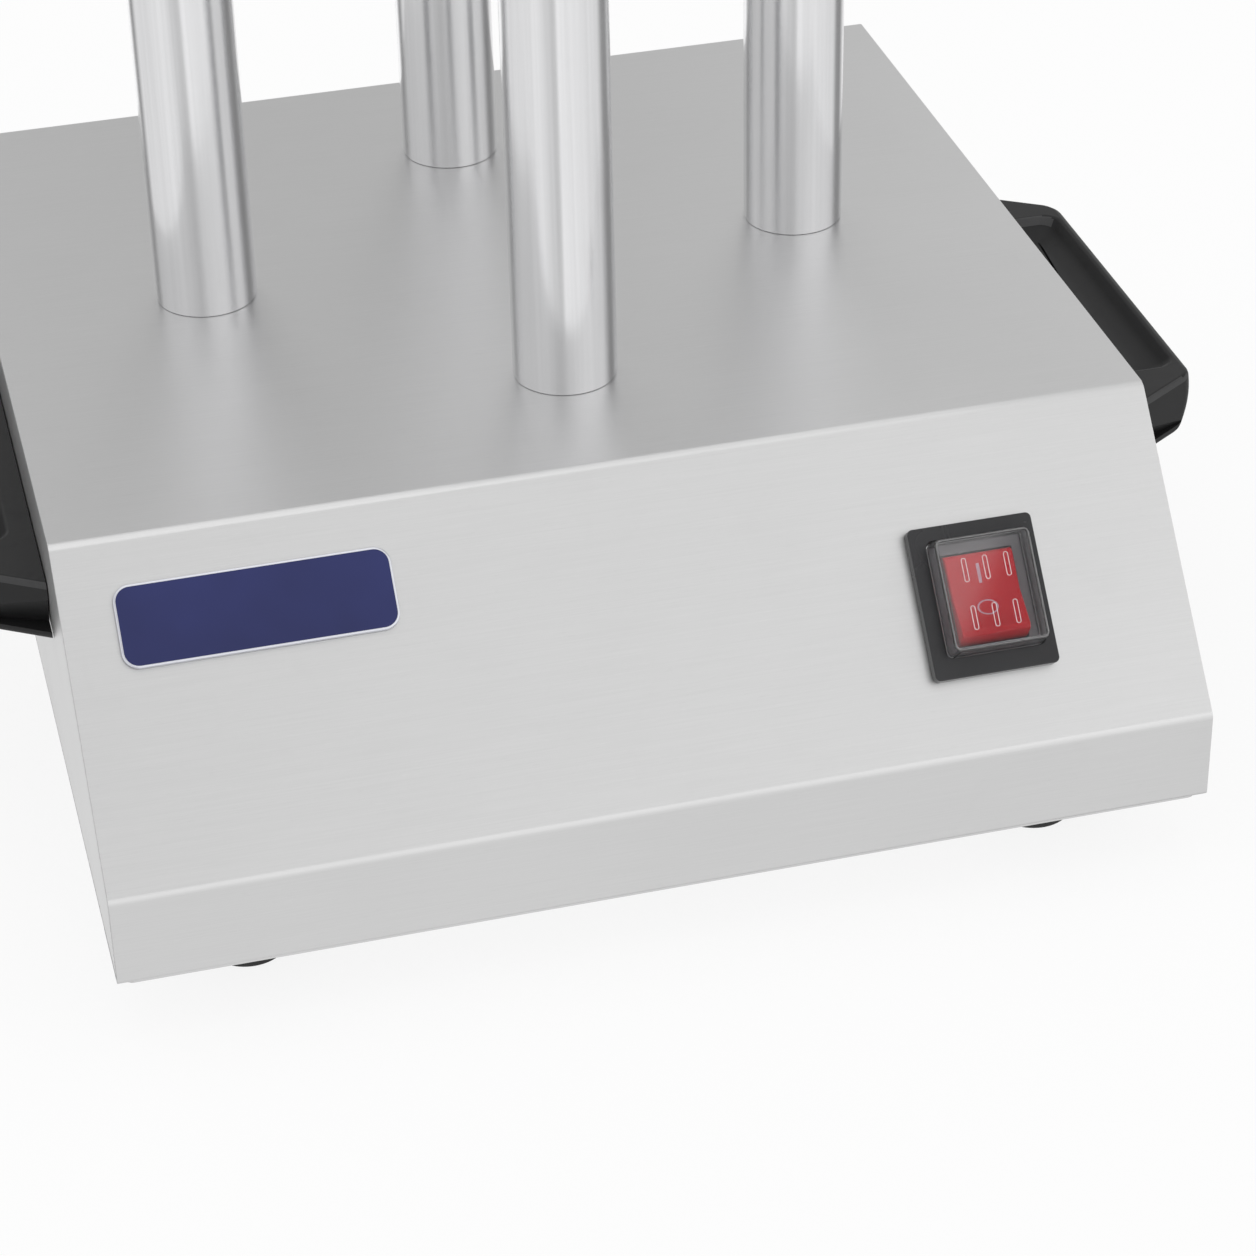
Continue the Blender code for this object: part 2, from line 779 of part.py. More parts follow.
def handle_shell(name, place, material):
    """The handle's outer form, with a softened top and bottom edge."""
    rounding = HANDLE_EDGE_ROUND
    heights = [0, rounding]
    for step in range(1, TIP_STEPS):
        heights.append(rounding + (HANDLE_HEIGHT - 2 * rounding) * step / TIP_STEPS)
    heights += [HANDLE_HEIGHT - rounding, HANDLE_HEIGHT]
    rings = []
    for height in heights:
        reach = handle_reach(height)
        if height in (0, HANDLE_HEIGHT):
            reach -= rounding
        rings.append(level(handle_outline(reach), height))
    return smooth(lofted(name, rings, material, place), math.radians(30))


def scoop_cutter(name, place):
    """The dished hollow in a handle's top: narrower at its floor."""
    reach = handle_reach(HANDLE_HEIGHT) - SCOOP_RIM
    width = reach - SCOOP_WALL_SIDE
    middle = SCOOP_WALL_SIDE + width / 2
    floor = HANDLE_HEIGHT - SCOOP_DEPTH
    shrink = 2 * SCOOP_DRAFT
    inner_corner = SCOOP_CORNER - SCOOP_DRAFT
    seat = place @ move(middle, 0, 0)
    wide = rounded_rectangle(width, SCOOP_LENGTH, SCOOP_CORNER)
    narrow = rounded_rectangle(width - shrink, SCOOP_LENGTH - shrink, inner_corner)
    rings = [level(narrow, floor), level(wide, HANDLE_HEIGHT), level(wide, HANDLE_HEIGHT + OVERRUN)]
    return lofted(name, rings, None, seat)


def grip_cutter(name, place):
    """The finger hollow under a handle."""
    width = HANDLE_REACH - HANDLE_FOOT_DROP - GRIP_WALL - GRIP_WALL_SIDE
    seat = place @ move(GRIP_WALL_SIDE + width / 2, 0, 0)
    outline = rounded_rectangle(width, GRIP_LENGTH, GRIP_CORNER)
    return prism(name, outline, -OVERRUN, GRIP_DEPTH, None, seat)


def wedge_cutter(name, place, end):
    """The wedge-shaped recess in a handle's slanted end, over its bottom lip.

    Its back is one slanted plane, deepest just over the lip at the wall side. It fades out upwards
    and towards the outer corner.
    """
    outer = HANDLE_REACH / math.cos(HANDLE_END_SLANT) - WEDGE_FROM_CORNER
    fade = (WEDGE_DEPTH - WEDGE_OUTER_DEPTH) / outer
    slant = WEDGE_DEPTH / (WEDGE_WALL_HEIGHT - LIP_HEIGHT)
    back = []
    for x, clear in ((-OVERRUN, 0), (outer, 0), (outer, OVERRUN), (-OVERRUN, OVERRUN)):
        deep = WEDGE_DEPTH - fade * x
        rise = (deep + clear) / slant if clear else 0
        back.append((x, clear or -deep, LIP_HEIGHT + rise))
    rings = [back, [(x, 2 * OVERRUN, z) for x, _, z in back]]
    wall_corner = place @ move(0, end * HANDLE_LENGTH / 2, 0)
    facing = turn(-end * HANDLE_END_SLANT, "Z")
    flip = Matrix.Diagonal((1, end, 1, 1))
    return lofted(name, rings, None, wall_corner @ facing @ flip)


def make_handles():
    """Moulded side handles, each held by two screws from inside the housing."""
    for side, sign in (("left", -1), ("right", 1)):
        quarter = math.pi if sign < 0 else 0
        wall = move(sign * (HALF_WIDTH + GAP), from_front(HOUSING_DEPTH / 2), handle_bottom())
        place = wall @ turn(quarter, "Z")
        handle = handle_shell(f"handle_{side}", place, black_plastic())
        cut(handle, scoop_cutter(f"cut_scoop_{side}", place), grip_cutter(f"cut_grip_{side}", place))
        for end_name, end in (("front", -1), ("rear", 1)):
            cut(handle, wedge_cutter(f"cut_wedge_{side}_{end_name}", place, end))
        length = SHEET + 2 * GAP + HANDLE_SCREW_LENGTH
        for end_name, (y, z) in handle_screw_places().items():
            outward = turn(sign * math.pi / 2, "Y")
            hole_place = move(sign * HALF_WIDTH, y, z) @ outward
            hole = circle(SCREW_HOLE_DIAMETER, SMALL_SIDES)
            depth = HANDLE_SCREW_LENGTH + 2 * GAP
            cut(handle, prism(f"cut_bore_{side}_{end_name}", hole, -OVERRUN, depth, None, hole_place))
            head_place = move(sign * (HALF_WIDTH - SHEET - GAP), y, z) @ outward
            make_screw(f"handle_screw_{side}_{end_name}", length, head_place)


def cap_place():
    return slope_place(SWITCH_X, SWITCH_UP_SLOPE + CAP_ABOVE_MIDDLE)


def make_switch_body():
    """The switch's black frame and body, with a seat for its cap and a well for its rocker."""
    place = slope_place(SWITCH_X, SWITCH_UP_SLOPE)
    round_edge = 2 * BEZEL_EDGE_ROUND
    top = GAP + BEZEL_THICKNESS
    frame = rounded_rectangle(BEZEL_WIDTH, BEZEL_LENGTH, BEZEL_CORNER)
    top_corner = BEZEL_CORNER - BEZEL_EDGE_ROUND
    frame_top = rounded_rectangle(BEZEL_WIDTH - round_edge, BEZEL_LENGTH - round_edge, top_corner)
    rings = [level(frame, GAP), level(frame, top - BEZEL_EDGE_ROUND), level(frame_top, top)]
    body = lofted("switch_body", rings, black_plastic(), place @ move(-BEZEL_ASIDE, 0, 0))
    block = rectangle(SWITCH_BODY_WIDTH, SWITCH_BODY_LENGTH)
    join(body, prism("switch_block", block, -SWITCH_BODY_DEPTH, GAP + BEZEL_THICKNESS / 2, None, place))
    seat = rounded_rectangle(CAP_WIDTH + 2 * GAP, CAP_LENGTH + 2 * GAP, CAP_CORNER + GAP)
    well_length = 2 * (ROCKER_HALF_LENGTH + GAP)
    well = rounded_rectangle(ROCKER_WIDTH + 2 * GAP, well_length, GAP)
    pivot = place @ move(0, 0, ROCKER_PIVOT_LEVEL) @ turn(math.pi / 2, "Y")
    pin_reach = ROCKER_WIDTH / 2 + PIVOT_PIN_LENGTH + PIVOT_GAP
    pin_hole = circle(PIVOT_PIN_DIAMETER + 2 * PIVOT_GAP, SMALL_SIDES)
    return cut(
        body,
        prism("cut_cap_seat", seat, top - CAP_SEAT_DEPTH, top + OVERRUN, None, cap_place()),
        prism("cut_well", well, -SWITCH_WELL_DEPTH, top + OVERRUN, None, place),
        prism("cut_pivot", pin_hole, -pin_reach, pin_reach, None, pivot),
    )


def rocker_outline():
    """The level rocker from its side, as (along, out) points about its pivot.

    Its two faces meet in a shallow V, and each end face stands square to the slope when pressed in.
    """
    half_travel = ROCKER_TRAVEL / 2
    valley = (ROCKER_FACE_LEVEL - ROCKER_PIVOT_LEVEL) / math.cos(half_travel)
    radius = ROCKER_HALF_LENGTH
    slant = math.tan(half_travel)
    end_out = (valley + radius * slant) * math.cos(half_travel) ** 2
    end_along = radius - end_out * slant
    crest_along = end_along - ROCKER_END_SHOULDER
    crest = (crest_along, valley + crest_along * slant)
    shoulder_out = end_out - ROCKER_END_SHOULDER
    shoulder = (radius - shoulder_out * slant, shoulder_out)
    foot = math.sqrt(radius ** 2 - ROCKER_BELOW_PIVOT ** 2)
    right = [crest, shoulder, (radius, 0), (foot, -ROCKER_BELOW_PIVOT)]
    left = [(-along, out) for along, out in right[::-1]]
    return [(0, valley), *right, *left]


def make_rocker():
    """The rocker and its pivot pins. At rest its upper end is pressed in, which is on."""
    half = ROCKER_WIDTH / 2
    rings = [[(x, along, out) for along, out in rocker_outline()] for x in (-half, half)]
    pivot = slope_place(SWITCH_X, SWITCH_UP_SLOPE, ROCKER_PIVOT_LEVEL)
    place = pivot @ turn(-ROCKER_TRAVEL / 2, "X")
    rocker = lofted("switch_rocker", rings, red_plastic(), place)
    reach = half + PIVOT_PIN_LENGTH
    pins = circle(PIVOT_PIN_DIAMETER, SMALL_SIDES)
    return join(rocker, prism("rocker_pins", pins, -reach, reach, None, place @ turn(math.pi / 2, "Y")))


def make_switch_cover():
    """The clear splash cap over the rocker: a tapered shell, open underneath."""
    bottom = GAP + BEZEL_THICKNESS - CAP_SEAT_DEPTH + GAP
    top = CAP_FRONT_LEVEL
    wall = 2 * CAP_WALL
    soft = 2 * CAP_EDGE_ROUND
    inner = CAP_CORNER - CAP_WALL
    edge = CAP_CORNER - CAP_EDGE_ROUND
    base = rounded_rectangle(CAP_WIDTH, CAP_LENGTH, CAP_CORNER)
    shoulder = rounded_rectangle(CAP_FRONT_WIDTH, CAP_FRONT_LENGTH, CAP_CORNER)
    front = rounded_rectangle(CAP_FRONT_WIDTH - soft, CAP_FRONT_LENGTH - soft, edge)
    inner_base = rounded_rectangle(CAP_WIDTH - wall, CAP_LENGTH - wall, inner)
    inner_front = rounded_rectangle(CAP_FRONT_WIDTH - wall, CAP_FRONT_LENGTH - wall, inner)
    rings = [
        level(inner_front, top - CAP_WALL),
        level(inner_base, bottom),
        level(base, bottom),
        level(shoulder, top - CAP_EDGE_ROUND),
        level(front, top),
    ]
    return lofted("switch_cover", rings, clear_plastic(), cap_place())


def make_switch_terminals():
    """Four push-on tabs under the switch body."""
    top = -SWITCH_BODY_DEPTH - GAP
    number = 0
    for row in (-1, 1):
        for column in (-1, 1):
            number += 1
            x = SWITCH_X + column * TERMINAL_SPREAD_X
            place = slope_place(x, SWITCH_UP_SLOPE + row * TERMINAL_SPREAD_Y)
            tab = rectangle(TERMINAL_WIDTH, TERMINAL_THICKNESS)
            prism(f"switch_terminal_{number}", tab, top - TERMINAL_LENGTH, top, brass(), place)


def make_badge():
    """A bare enamelled plate with a softened edge."""
    place = slope_place(BADGE_FROM_SIDE + BADGE_WIDTH / 2 - HALF_WIDTH, BADGE_UP_SLOPE)
    soft = BADGE_THICKNESS / 3
    outline = rounded_rectangle(BADGE_WIDTH, BADGE_HEIGHT, BADGE_CORNER)
    face = rounded_rectangle(BADGE_WIDTH - 2 * soft, BADGE_HEIGHT - 2 * soft, BADGE_CORNER - soft)
    top = GAP + BADGE_THICKNESS
    rings = [level(outline, GAP), level(outline, top - soft), level(face, top)]
    return lofted("badge_plate", rings, navy_enamel(), place)


def gland_place():
    """On the back sheet's inside, with local Z pointing out of the back."""
    y = from_front(HOUSING_DEPTH - SHEET)
    at = move(GLAND_FROM_SIDE - HALF_WIDTH, y, HOUSING_BOTTOM + GLAND_ABOVE_BOTTOM)
    return at @ turn(-math.pi / 2, "X")


def make_gland():
    """The cable gland: a body through the back sheet, a dome nut outside it and a lock nut inside."""
    place = gland_place()
    flange = SHEET + GAP
    hexagon_end = flange + GLAND_HEX_THICKNESS
    body = prism("gland_body", hexagon(GLAND_HEX), flange, hexagon_end, black_plastic(), place)
    thread = circle(GLAND_THREAD_DIAMETER, FOOT_SIDES)
    neck = circle(GLAND_NECK_DIAMETER, FOOT_SIDES)
    middle = flange + GLAND_HEX_THICKNESS / 2
    neck_end = hexagon_end + GLAND_NECK_LENGTH
    join(
        body,
        prism("gland_thread", thread, -GLAND_INSIDE, middle, None, place),
        prism("gland_neck", neck, middle, neck_end, None, place),
    )
    bore = circle(GLAND_BORE, SMALL_SIDES)
    cut(body, prism("cut_gland_bore", bore, -GLAND_INSIDE - OVERRUN, neck_end + OVERRUN, None, place))
    make_dome_nut(hexagon_end + GAP)
    nut_place = place @ move(0, 0, -GAP - LOCK_NUT_THICKNESS)
    size = (LOCK_NUT_HEX, LOCK_NUT_THICKNESS)
    opening = GLAND_THREAD_DIAMETER + 2 * GAP
    make_nut("gland_lock_nut", size, opening, black_plastic(), nut_place, FOOT_SIDES)


def make_dome_nut(start):
    """The gland's outer nut: a cylinder that closes in over the neck's end, with a hole for a cord."""
    outer = GLAND_HEX / 2
    inner = GLAND_NECK_DIAMETER / 2 + GAP
    end = DOME_END_DIAMETER / 2
    hole = GLAND_BORE / 2
    cavity = GLAND_NECK_LENGTH + GAP
    profile = [
        (inner, 0),
        (outer - GAP, 0),
        (outer - GAP, DOME_LENGTH / 2),
        (outer - DOME_WALL_ROUND / 2, DOME_LENGTH - DOME_WALL_ROUND),
        (end, DOME_LENGTH),
        (hole, DOME_LENGTH),
        (hole, cavity),
        (inner, cavity),
    ]
    place = gland_place() @ move(0, 0, start)
    return turned("gland_dome_nut", profile, FOOT_SIDES, black_plastic(), place, closed=True)


def block_bottom():
    return BASE_TOP + GAP


def block_y():
    """The terminal block lies under the row of the two middle spikes."""
    return spike_places()["left"][1]


def make_terminal_block():
    """The terminal block on the base plate, with a well over each pole and one fixing screw."""
    place = move(0, block_y(), block_bottom())
    top_width = BLOCK_WIDTH - 2 * BLOCK_CHAMFER
    top_length = BLOCK_LENGTH - 2 * BLOCK_CHAMFER
    low = rounded_rectangle(BLOCK_WIDTH, BLOCK_LENGTH, BLOCK_CHAMFER, steps=1)
    high = rounded_rectangle(top_width, top_length, BLOCK_CHAMFER / 2, steps=1)
    rings = [level(low, 0), level(low, BLOCK_HEIGHT - BLOCK_CHAMFER), level(high, BLOCK_HEIGHT)]
    block = lofted("terminal_block", rings, white_ceramic(), place)
    first = -(BLOCK_POLES - 1) * BLOCK_POLE_PITCH / 2
    floor = BLOCK_HEIGHT - BLOCK_WELL_DEPTH
    for pole in range(BLOCK_POLES):
        at = (first + pole * BLOCK_POLE_PITCH, BLOCK_LENGTH / 4)
        well = circle(BLOCK_WELL_DIAMETER, LEAD_SIDES, at)
        cut(block, prism(f"cut_pole_{pole}", well, floor, BLOCK_HEIGHT + OVERRUN, None, place))
    head_well = circle(SCREW_HEAD_DIAMETER + 2 * GAP, SMALL_SIDES)
    hole = circle(SCREW_HOLE_DIAMETER, SMALL_SIDES)
    cut(
        block,
        prism("cut_block_head", head_well, BLOCK_WEB, BLOCK_HEIGHT + OVERRUN, None, place),
        prism("cut_block_hole", hole, -OVERRUN, BLOCK_WEB + OVERRUN, None, place),
    )
    length = BLOCK_WEB + SHEET + 3 * GAP
    head = place @ move(0, 0, BLOCK_WEB + GAP) @ turn(math.pi, "X")
    make_screw("terminal_block_screw", length, head)


def make_earth_point():
    """The earth screw through the base plate, and the nut that clamps the earth lead's lug."""
    length = SHEET + 3 * GAP + LUG_THICKNESS + SMALL_NUT_THICKNESS + SCREW_PROUD
    make_screw("earth_screw", length, move(EARTH_X, EARTH_Y, BASE_BOTTOM - GAP))
    size = (SMALL_NUT_HEX, SMALL_NUT_THICKNESS)
    place = move(EARTH_X, EARTH_Y, BASE_TOP + 2 * GAP + LUG_THICKNESS)
    make_nut("earth_nut", size, SCREW_HOLE_DIAMETER, zinc(), place)


def smooth_route(points):
    """Points of a smooth curve through the given ones."""
    stops = [Vector(point) for point in points]
    padded = [2 * stops[0] - stops[1], *stops, 2 * stops[-1] - stops[-2]]
    route = []
    for index in range(1, len(padded) - 2):
        before, here, there, after = padded[index - 1 : index + 3]
        for step in range(ROUTE_STEPS):
            part = step / ROUTE_STEPS
            route.append(
                (
                    2 * here
                    + (there - before) * part
                    + (2 * before - 5 * here + 4 * there - after) * part ** 2
                    + (3 * here - before - 3 * there + after) * part ** 3
                )
                / 2
            )
    route.append(stops[-1])
    return route


def tube(name, points, diameter, material):
    """A round lead along a smooth route, with flat ends square to it."""
    route = smooth_route(points)
    side = Vector((1, 0, 0))
    rings = []
    for index, point in enumerate(route):
        before = route[index - 1]
        after = route[(index + 1) % len(route)]
        if index == 0:
            before, after = Vector(points[0]), Vector(points[1])
        if index == len(route) - 1:
            before, after = Vector(points[-2]), Vector(points[-1])
        along = (after - before).normalized()
        side = (side - along * side.dot(along)).normalized()
        other = along.cross(side)
        ring = []
        for corner in range(LEAD_SIDES):
            angle = math.tau * corner / LEAD_SIDES
            ring.append(point + (side * math.cos(angle) + other * math.sin(angle)) * diameter / 2)
        rings.append(ring)
    return smooth(lofted(name, rings, material))


def block_entry(pole, end):
    """Where a lead meets the block: beside this pole, at the block's front (-1) or rear (1)."""
    x = (pole - (BLOCK_POLES - 1) / 2) * BLOCK_POLE_PITCH
    y = block_y() + end * (BLOCK_LENGTH / 2 + GAP)
    return Vector((x, y, block_bottom() + LEAD_HEIGHT))


def make_heater_leads():
    """A sleeved pair from each heater down to the terminal block."""
    entries = {"front": (2, -1), "left": (0, -1), "right": (5, -1), "rear": (2, 1)}
    for name, (x, y) in spike_places().items():
        pole, end = entries[name]
        target = block_entry(pole, end)
        away = Vector((0, end * LEAD_RUN_IN, 0))
        top = Vector((x, y, heater_bottom() - GAP))
        dropped = top - Vector((0, 0, LEAD_DROP))
        turning = (dropped + target + 2 * away) / 2 + away
        points = [top, dropped, turning, target + away, target]
        tube(f"heater_lead_{name}", points, HEATER_LEAD_DIAMETER, lead_sleeve())


def make_switch_lead():
    """The switch's sleeved leads, with the boot that covers its tabs."""
    boot_top = -SWITCH_BODY_DEPTH - TERMINAL_LENGTH - 2 * GAP
    place = slope_place(SWITCH_X, SWITCH_UP_SLOPE)
    outline = rounded_rectangle(BOOT_WIDTH, BOOT_LENGTH, BOOT_CORNER)
    boot = prism("switch_boot", outline, boot_top - BOOT_THICKNESS, boot_top, None, place)
    start = place @ Vector((0, 0, boot_top - BOOT_THICKNESS / 2))
    leaving = place @ Vector((0, 0, boot_top - BOOT_THICKNESS - LEAD_RUN_IN / 2))
    target = block_entry(4, -1)
    away = Vector((0, -LEAD_RUN_IN, 0))
    turning = (leaving + target + away) / 2
    turning.z = target.z
    points = [start, leaving, turning, target + away, target]
    lead = tube("switch_lead", points, SWITCH_LEAD_DIAMETER, lead_sleeve())
    return join(lead, boot)


def make_earth_lead():
    """The earth lead, from the terminal block to its lug on the earth screw."""
    lug_bottom = BASE_TOP + GAP
    opening = SCREW_HOLE_DIAMETER / 2
    profile = [
        (opening, 0),
        (LUG_DIAMETER / 2, 0),
        (LUG_DIAMETER / 2, LUG_THICKNESS),
        (opening, LUG_THICKNESS),
    ]
    lug_place = move(EARTH_X, EARTH_Y, lug_bottom)
    lug = turned("earth_lug", profile, FOOT_SIDES, None, lug_place, closed=True)
    target = block_entry(4, 1)
    away = Vector((0, LEAD_RUN_IN, 0))
    ring_middle = EARTH_X - (LUG_DIAMETER / 2 + opening) / 2
    tongue_end = EARTH_X - LUG_DIAMETER / 2 - LUG_TONGUE
    outline = rectangle(ring_middle - tongue_end, EARTH_LEAD_DIAMETER)
    tongue_place = move((ring_middle + tongue_end) / 2, EARTH_Y, lug_bottom)
    tongue = prism("earth_tongue", outline, 0, LUG_THICKNESS, None, tongue_place)
    height = lug_bottom + EARTH_LEAD_DIAMETER / 2 + GAP
    joint = Vector((tongue_end + LUG_TONGUE / 2, EARTH_Y, height))
    arriving = joint - Vector((LEAD_RUN_IN / 2, 0, 0))
    turning = (arriving + target + away) / 2
    points = [target, target + away, turning, arriving, joint]
    lead = tube("earth_lead", points, EARTH_LEAD_DIAMETER, earth_sleeve())
    return join(lead, tongue, lug)


def main():
    clear_scene()
    make_housing_wrap()
    make_side_panels()
    make_base_plate()
    make_feet()
    make_base_screws()
    make_spikes()
    make_handles()
    make_switch_body()
    make_rocker()
    make_switch_cover()
    make_switch_terminals()
    make_badge()
    make_gland()
    make_terminal_block()
    make_earth_point()
    make_heater_leads()
    make_switch_lead()
    make_earth_lead()


main()
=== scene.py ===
import math

import bmesh
import bpy
from mathutils import Matrix, Vector


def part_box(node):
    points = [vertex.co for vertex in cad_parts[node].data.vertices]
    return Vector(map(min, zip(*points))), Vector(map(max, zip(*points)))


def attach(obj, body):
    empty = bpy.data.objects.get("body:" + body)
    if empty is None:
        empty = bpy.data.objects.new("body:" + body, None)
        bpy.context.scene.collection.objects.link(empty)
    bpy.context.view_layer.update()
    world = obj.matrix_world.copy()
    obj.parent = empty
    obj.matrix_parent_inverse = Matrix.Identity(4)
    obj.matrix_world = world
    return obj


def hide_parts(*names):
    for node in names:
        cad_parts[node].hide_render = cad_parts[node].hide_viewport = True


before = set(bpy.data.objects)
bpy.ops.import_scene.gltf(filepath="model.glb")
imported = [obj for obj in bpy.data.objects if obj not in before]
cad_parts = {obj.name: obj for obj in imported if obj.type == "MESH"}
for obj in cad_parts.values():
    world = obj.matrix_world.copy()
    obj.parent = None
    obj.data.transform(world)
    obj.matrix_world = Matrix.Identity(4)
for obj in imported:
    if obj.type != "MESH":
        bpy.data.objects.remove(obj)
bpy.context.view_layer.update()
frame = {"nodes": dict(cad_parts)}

bl_info = {
    "name": "Hot dog spike machine",
    "version": (1, 0, 0),
    "blender": (4, 5, 0),
    "location": "3D View > Sidebar > Spike Machine",
    "description": "Dresses the packed spike machine with its sheet metal, spikes, handles and switch",
    "category": "Object",
}

WRAP_LOW, WRAP_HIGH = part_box("housing_wrap")
FRONT, REAR = WRAP_LOW.y, WRAP_HIGH.y
BOTTOM, TOP = WRAP_LOW.z, WRAP_HIGH.z
HALF_WIDTH = WRAP_HIGH.x
SPIKE_NAMES = ("front", "left", "right", "rear")
CORNER_NAMES = ("front_left", "front_right", "rear_left", "rear_right")
SIDES = (("left", -1), ("right", 1))
MACHINE = "machine"
ROCKER = "rocker"
NEAR = 0.00002
OVERRUN = 0.002
SMOOTH_ANGLE = math.radians(32)
MERGE_REACH = 0.000001
HOLE_SIDES = 48
SMALL_HOLE_SIDES = 24
BUMP_DEPTH = 0.00003
BRAID_DEPTH = 0.0002
THREAD_DEPTH = 0.0006
SQUARE = math.pi / 2

# Level directions as the photo sees them: across to the right, and towards the camera
ASIDE = (0.970, -0.244, 0)
TOWARD = (-0.244, -0.970, 0)

# Stops of (place, brightness) of what polished faces mirror. Places run from left to right,
# or from straight down to straight up.
FRONT_ACROSS = (
    (0.0, 0.76), (1.0, 0.76), (0.20, 0.85), (0.42, 0.62),
    (0.53, 0.52), (0.545, 1.0), (0.66, 0.84), (0.90, 0.84),
)
FRONT_UPWARD = ((0.0, 0.73), (1.0, 0.60), (0.45, 0.74), (0.55, 0.95), (0.77, 0.95), (0.875, 0.61))
BEHIND_ACROSS = ((0.0, 0.92), (1.0, 0.86), (0.34, 0.84), (0.40, 0.60), (0.49, 0.61), (0.56, 0.86))

# The camera that the housing's straight edges in the photo give
CAMERA_SPOT = (-0.17829, -0.81381, 0.53957)
CAMERA_AXES = ((0.9666, -0.2556, -0.0184), (0.1548, 0.5250, 0.8369), (-0.2042, -0.8118, 0.5470))
SENSOR_WIDTH = 36


# Settings

def length(name, default, description):
    return bpy.props.FloatProperty(
        name=name, description=description, default=default, min=0.0, precision=5, unit="LENGTH"
    )


def angle(name, degrees, description):
    return bpy.props.FloatProperty(
        name=name, description=description, default=math.radians(degrees), subtype="ANGLE"
    )


def share(name, default, description):
    return bpy.props.FloatProperty(
        name=name, description=description, default=default, min=0.0, max=1.0, subtype="FACTOR"
    )


def count(name, default, description):
    return bpy.props.IntProperty(name=name, description=description, default=default, min=1)


def colour(name, default, description):
    return bpy.props.FloatVectorProperty(
        name=name, description=description, default=default, size=3, min=0.0, max=1.0, subtype="COLOR"
    )


class HousingSettings(bpy.types.PropertyGroup):
    strip: length("Front strip", 0.0234, "Height of the upright strip under the slope")
    run: length("Slope run", 0.0554, "How far back the slope reaches")
    rise: length("Slope rise", 0.0617, "How far up the slope reaches")
    sheet: length("Sheet", 0.001, "Thickness of the stainless sheet")
    fold: length("Fold radius", 0.003, "Outer radius of the folds round the slope and at the top rear")
    bottom_fold: length("Bottom fold radius", 0.0014, "Outer radius of the folds at the bottom")
    flange: length("Bottom flange", 0.022, "Depth of the flanges turned in under the front and back")
    side_flange: length("Side flange", 0.012, "Depth of the side panels' own turned edge")
    gap: length("Seam gap", 0.0003, "Clear seam between the folded sheet and a side panel")
    edge: length("Sheet edge", 0.00018, "Broken edge of the cut sheet")
    steps: count("Fold steps", 8, "Facets round each fold")


class SpikeSettings(bpy.types.PropertyGroup):
    diameter: length("Spike diameter", 0.0257, "Diameter of a heated spike")
    height: length("Spike height", 0.200, "Height of a spike above the top sheet")
    tip: length("Tip length", 0.022, "Length of the rounded tip")
    chamfer: length("Foot chamfer", 0.00015, "Broken edge round a spike's foot")
    neck: length("Neck diameter", 0.016, "Diameter of the threaded neck under a spike")
    neck_length: length("Neck length", 0.013, "Length of the threaded neck")
    bore: length("Heater bore", 0.0100, "Diameter of the bore that holds the heater")
    bore_length: length("Bore length", 0.1483, "Depth of the heater's bore")
    steps: count("Spike sides", 96, "Facets round a spike")


class HandleSettings(bpy.types.PropertyGroup):
    reach: length("Reach", 0.0290, "How far a handle stands out from the side panel")
    height: length("Height", 0.0158, "Height of a handle")
    length: length("Length", 0.135, "Length of a handle along the panel")
    slant: angle("End slant", 32.7, "How far each end leans back from square")
    corner: length("Corner radius", 0.007, "Radius of the outer corners seen from above")
    top_drop: length("Top drop", 0.0009, "How far the bowed outer face falls back at the top")
    foot_drop: length("Foot drop", 0.0028, "How far the bowed outer face falls back at the bottom")
    widest: share("Widest height", 0.60, "Share of the height at which the handle is widest")
    edge: length("Edge radius", 0.0015, "Softened top and bottom edge")
    scoop_depth: length("Scoop depth", 0.0045, "Depth of the dished hollow in the top")
    scoop_rim: length("Scoop rim", 0.0022, "Rim left outside the scoop")
    scoop_wall: length("Scoop wall side", 0.0060, "Rim left between the scoop and the panel")
    scoop_length: length("Scoop length", 0.0890, "Length of the scoop")
    scoop_corner: length("Scoop corner", 0.0045, "Corner radius of the scoop")
    scoop_draft: length("Scoop draft", 0.0036, "How much narrower the scoop's floor is on each side")
    grip_depth: length("Grip depth", 0.0080, "Depth of the finger hollow underneath")
    grip_wall: length("Grip wall", 0.0045, "Wall left outside the finger hollow")
    grip_wall_side: length("Grip wall side", 0.0040, "Wall left between the hollow and the panel")
    grip_length: length("Grip length", 0.0840, "Length of the finger hollow")
    grip_corner: length("Grip corner", 0.0060, "Corner radius of the finger hollow")
    lip: length("Lip height", 0.0023, "Height of the lip under the wedge recess")
    wedge_depth: length("Wedge depth", 0.0050, "Depth of the wedge recess over the lip at the panel")
    wedge_step: length("Wedge step", 0.0016, "Depth of the wedge recess at its top by the panel")
    wedge_shallow: length("Wedge outer depth", 0.0006, "Depth and height of the recess at its outer end")
    wedge_corner: length("Wedge from corner", 0.0030, "Where the wedge ends before the outer corner")
    wedge_wall: length("Wedge wall height", 0.0120, "Height at which the wedge fades out at the panel")
    bore: length("Screw bore", 0.0046, "Diameter of the screw bores in the wall side")
    bore_depth: length("Bore depth", 0.0146, "Depth of the screw bores")


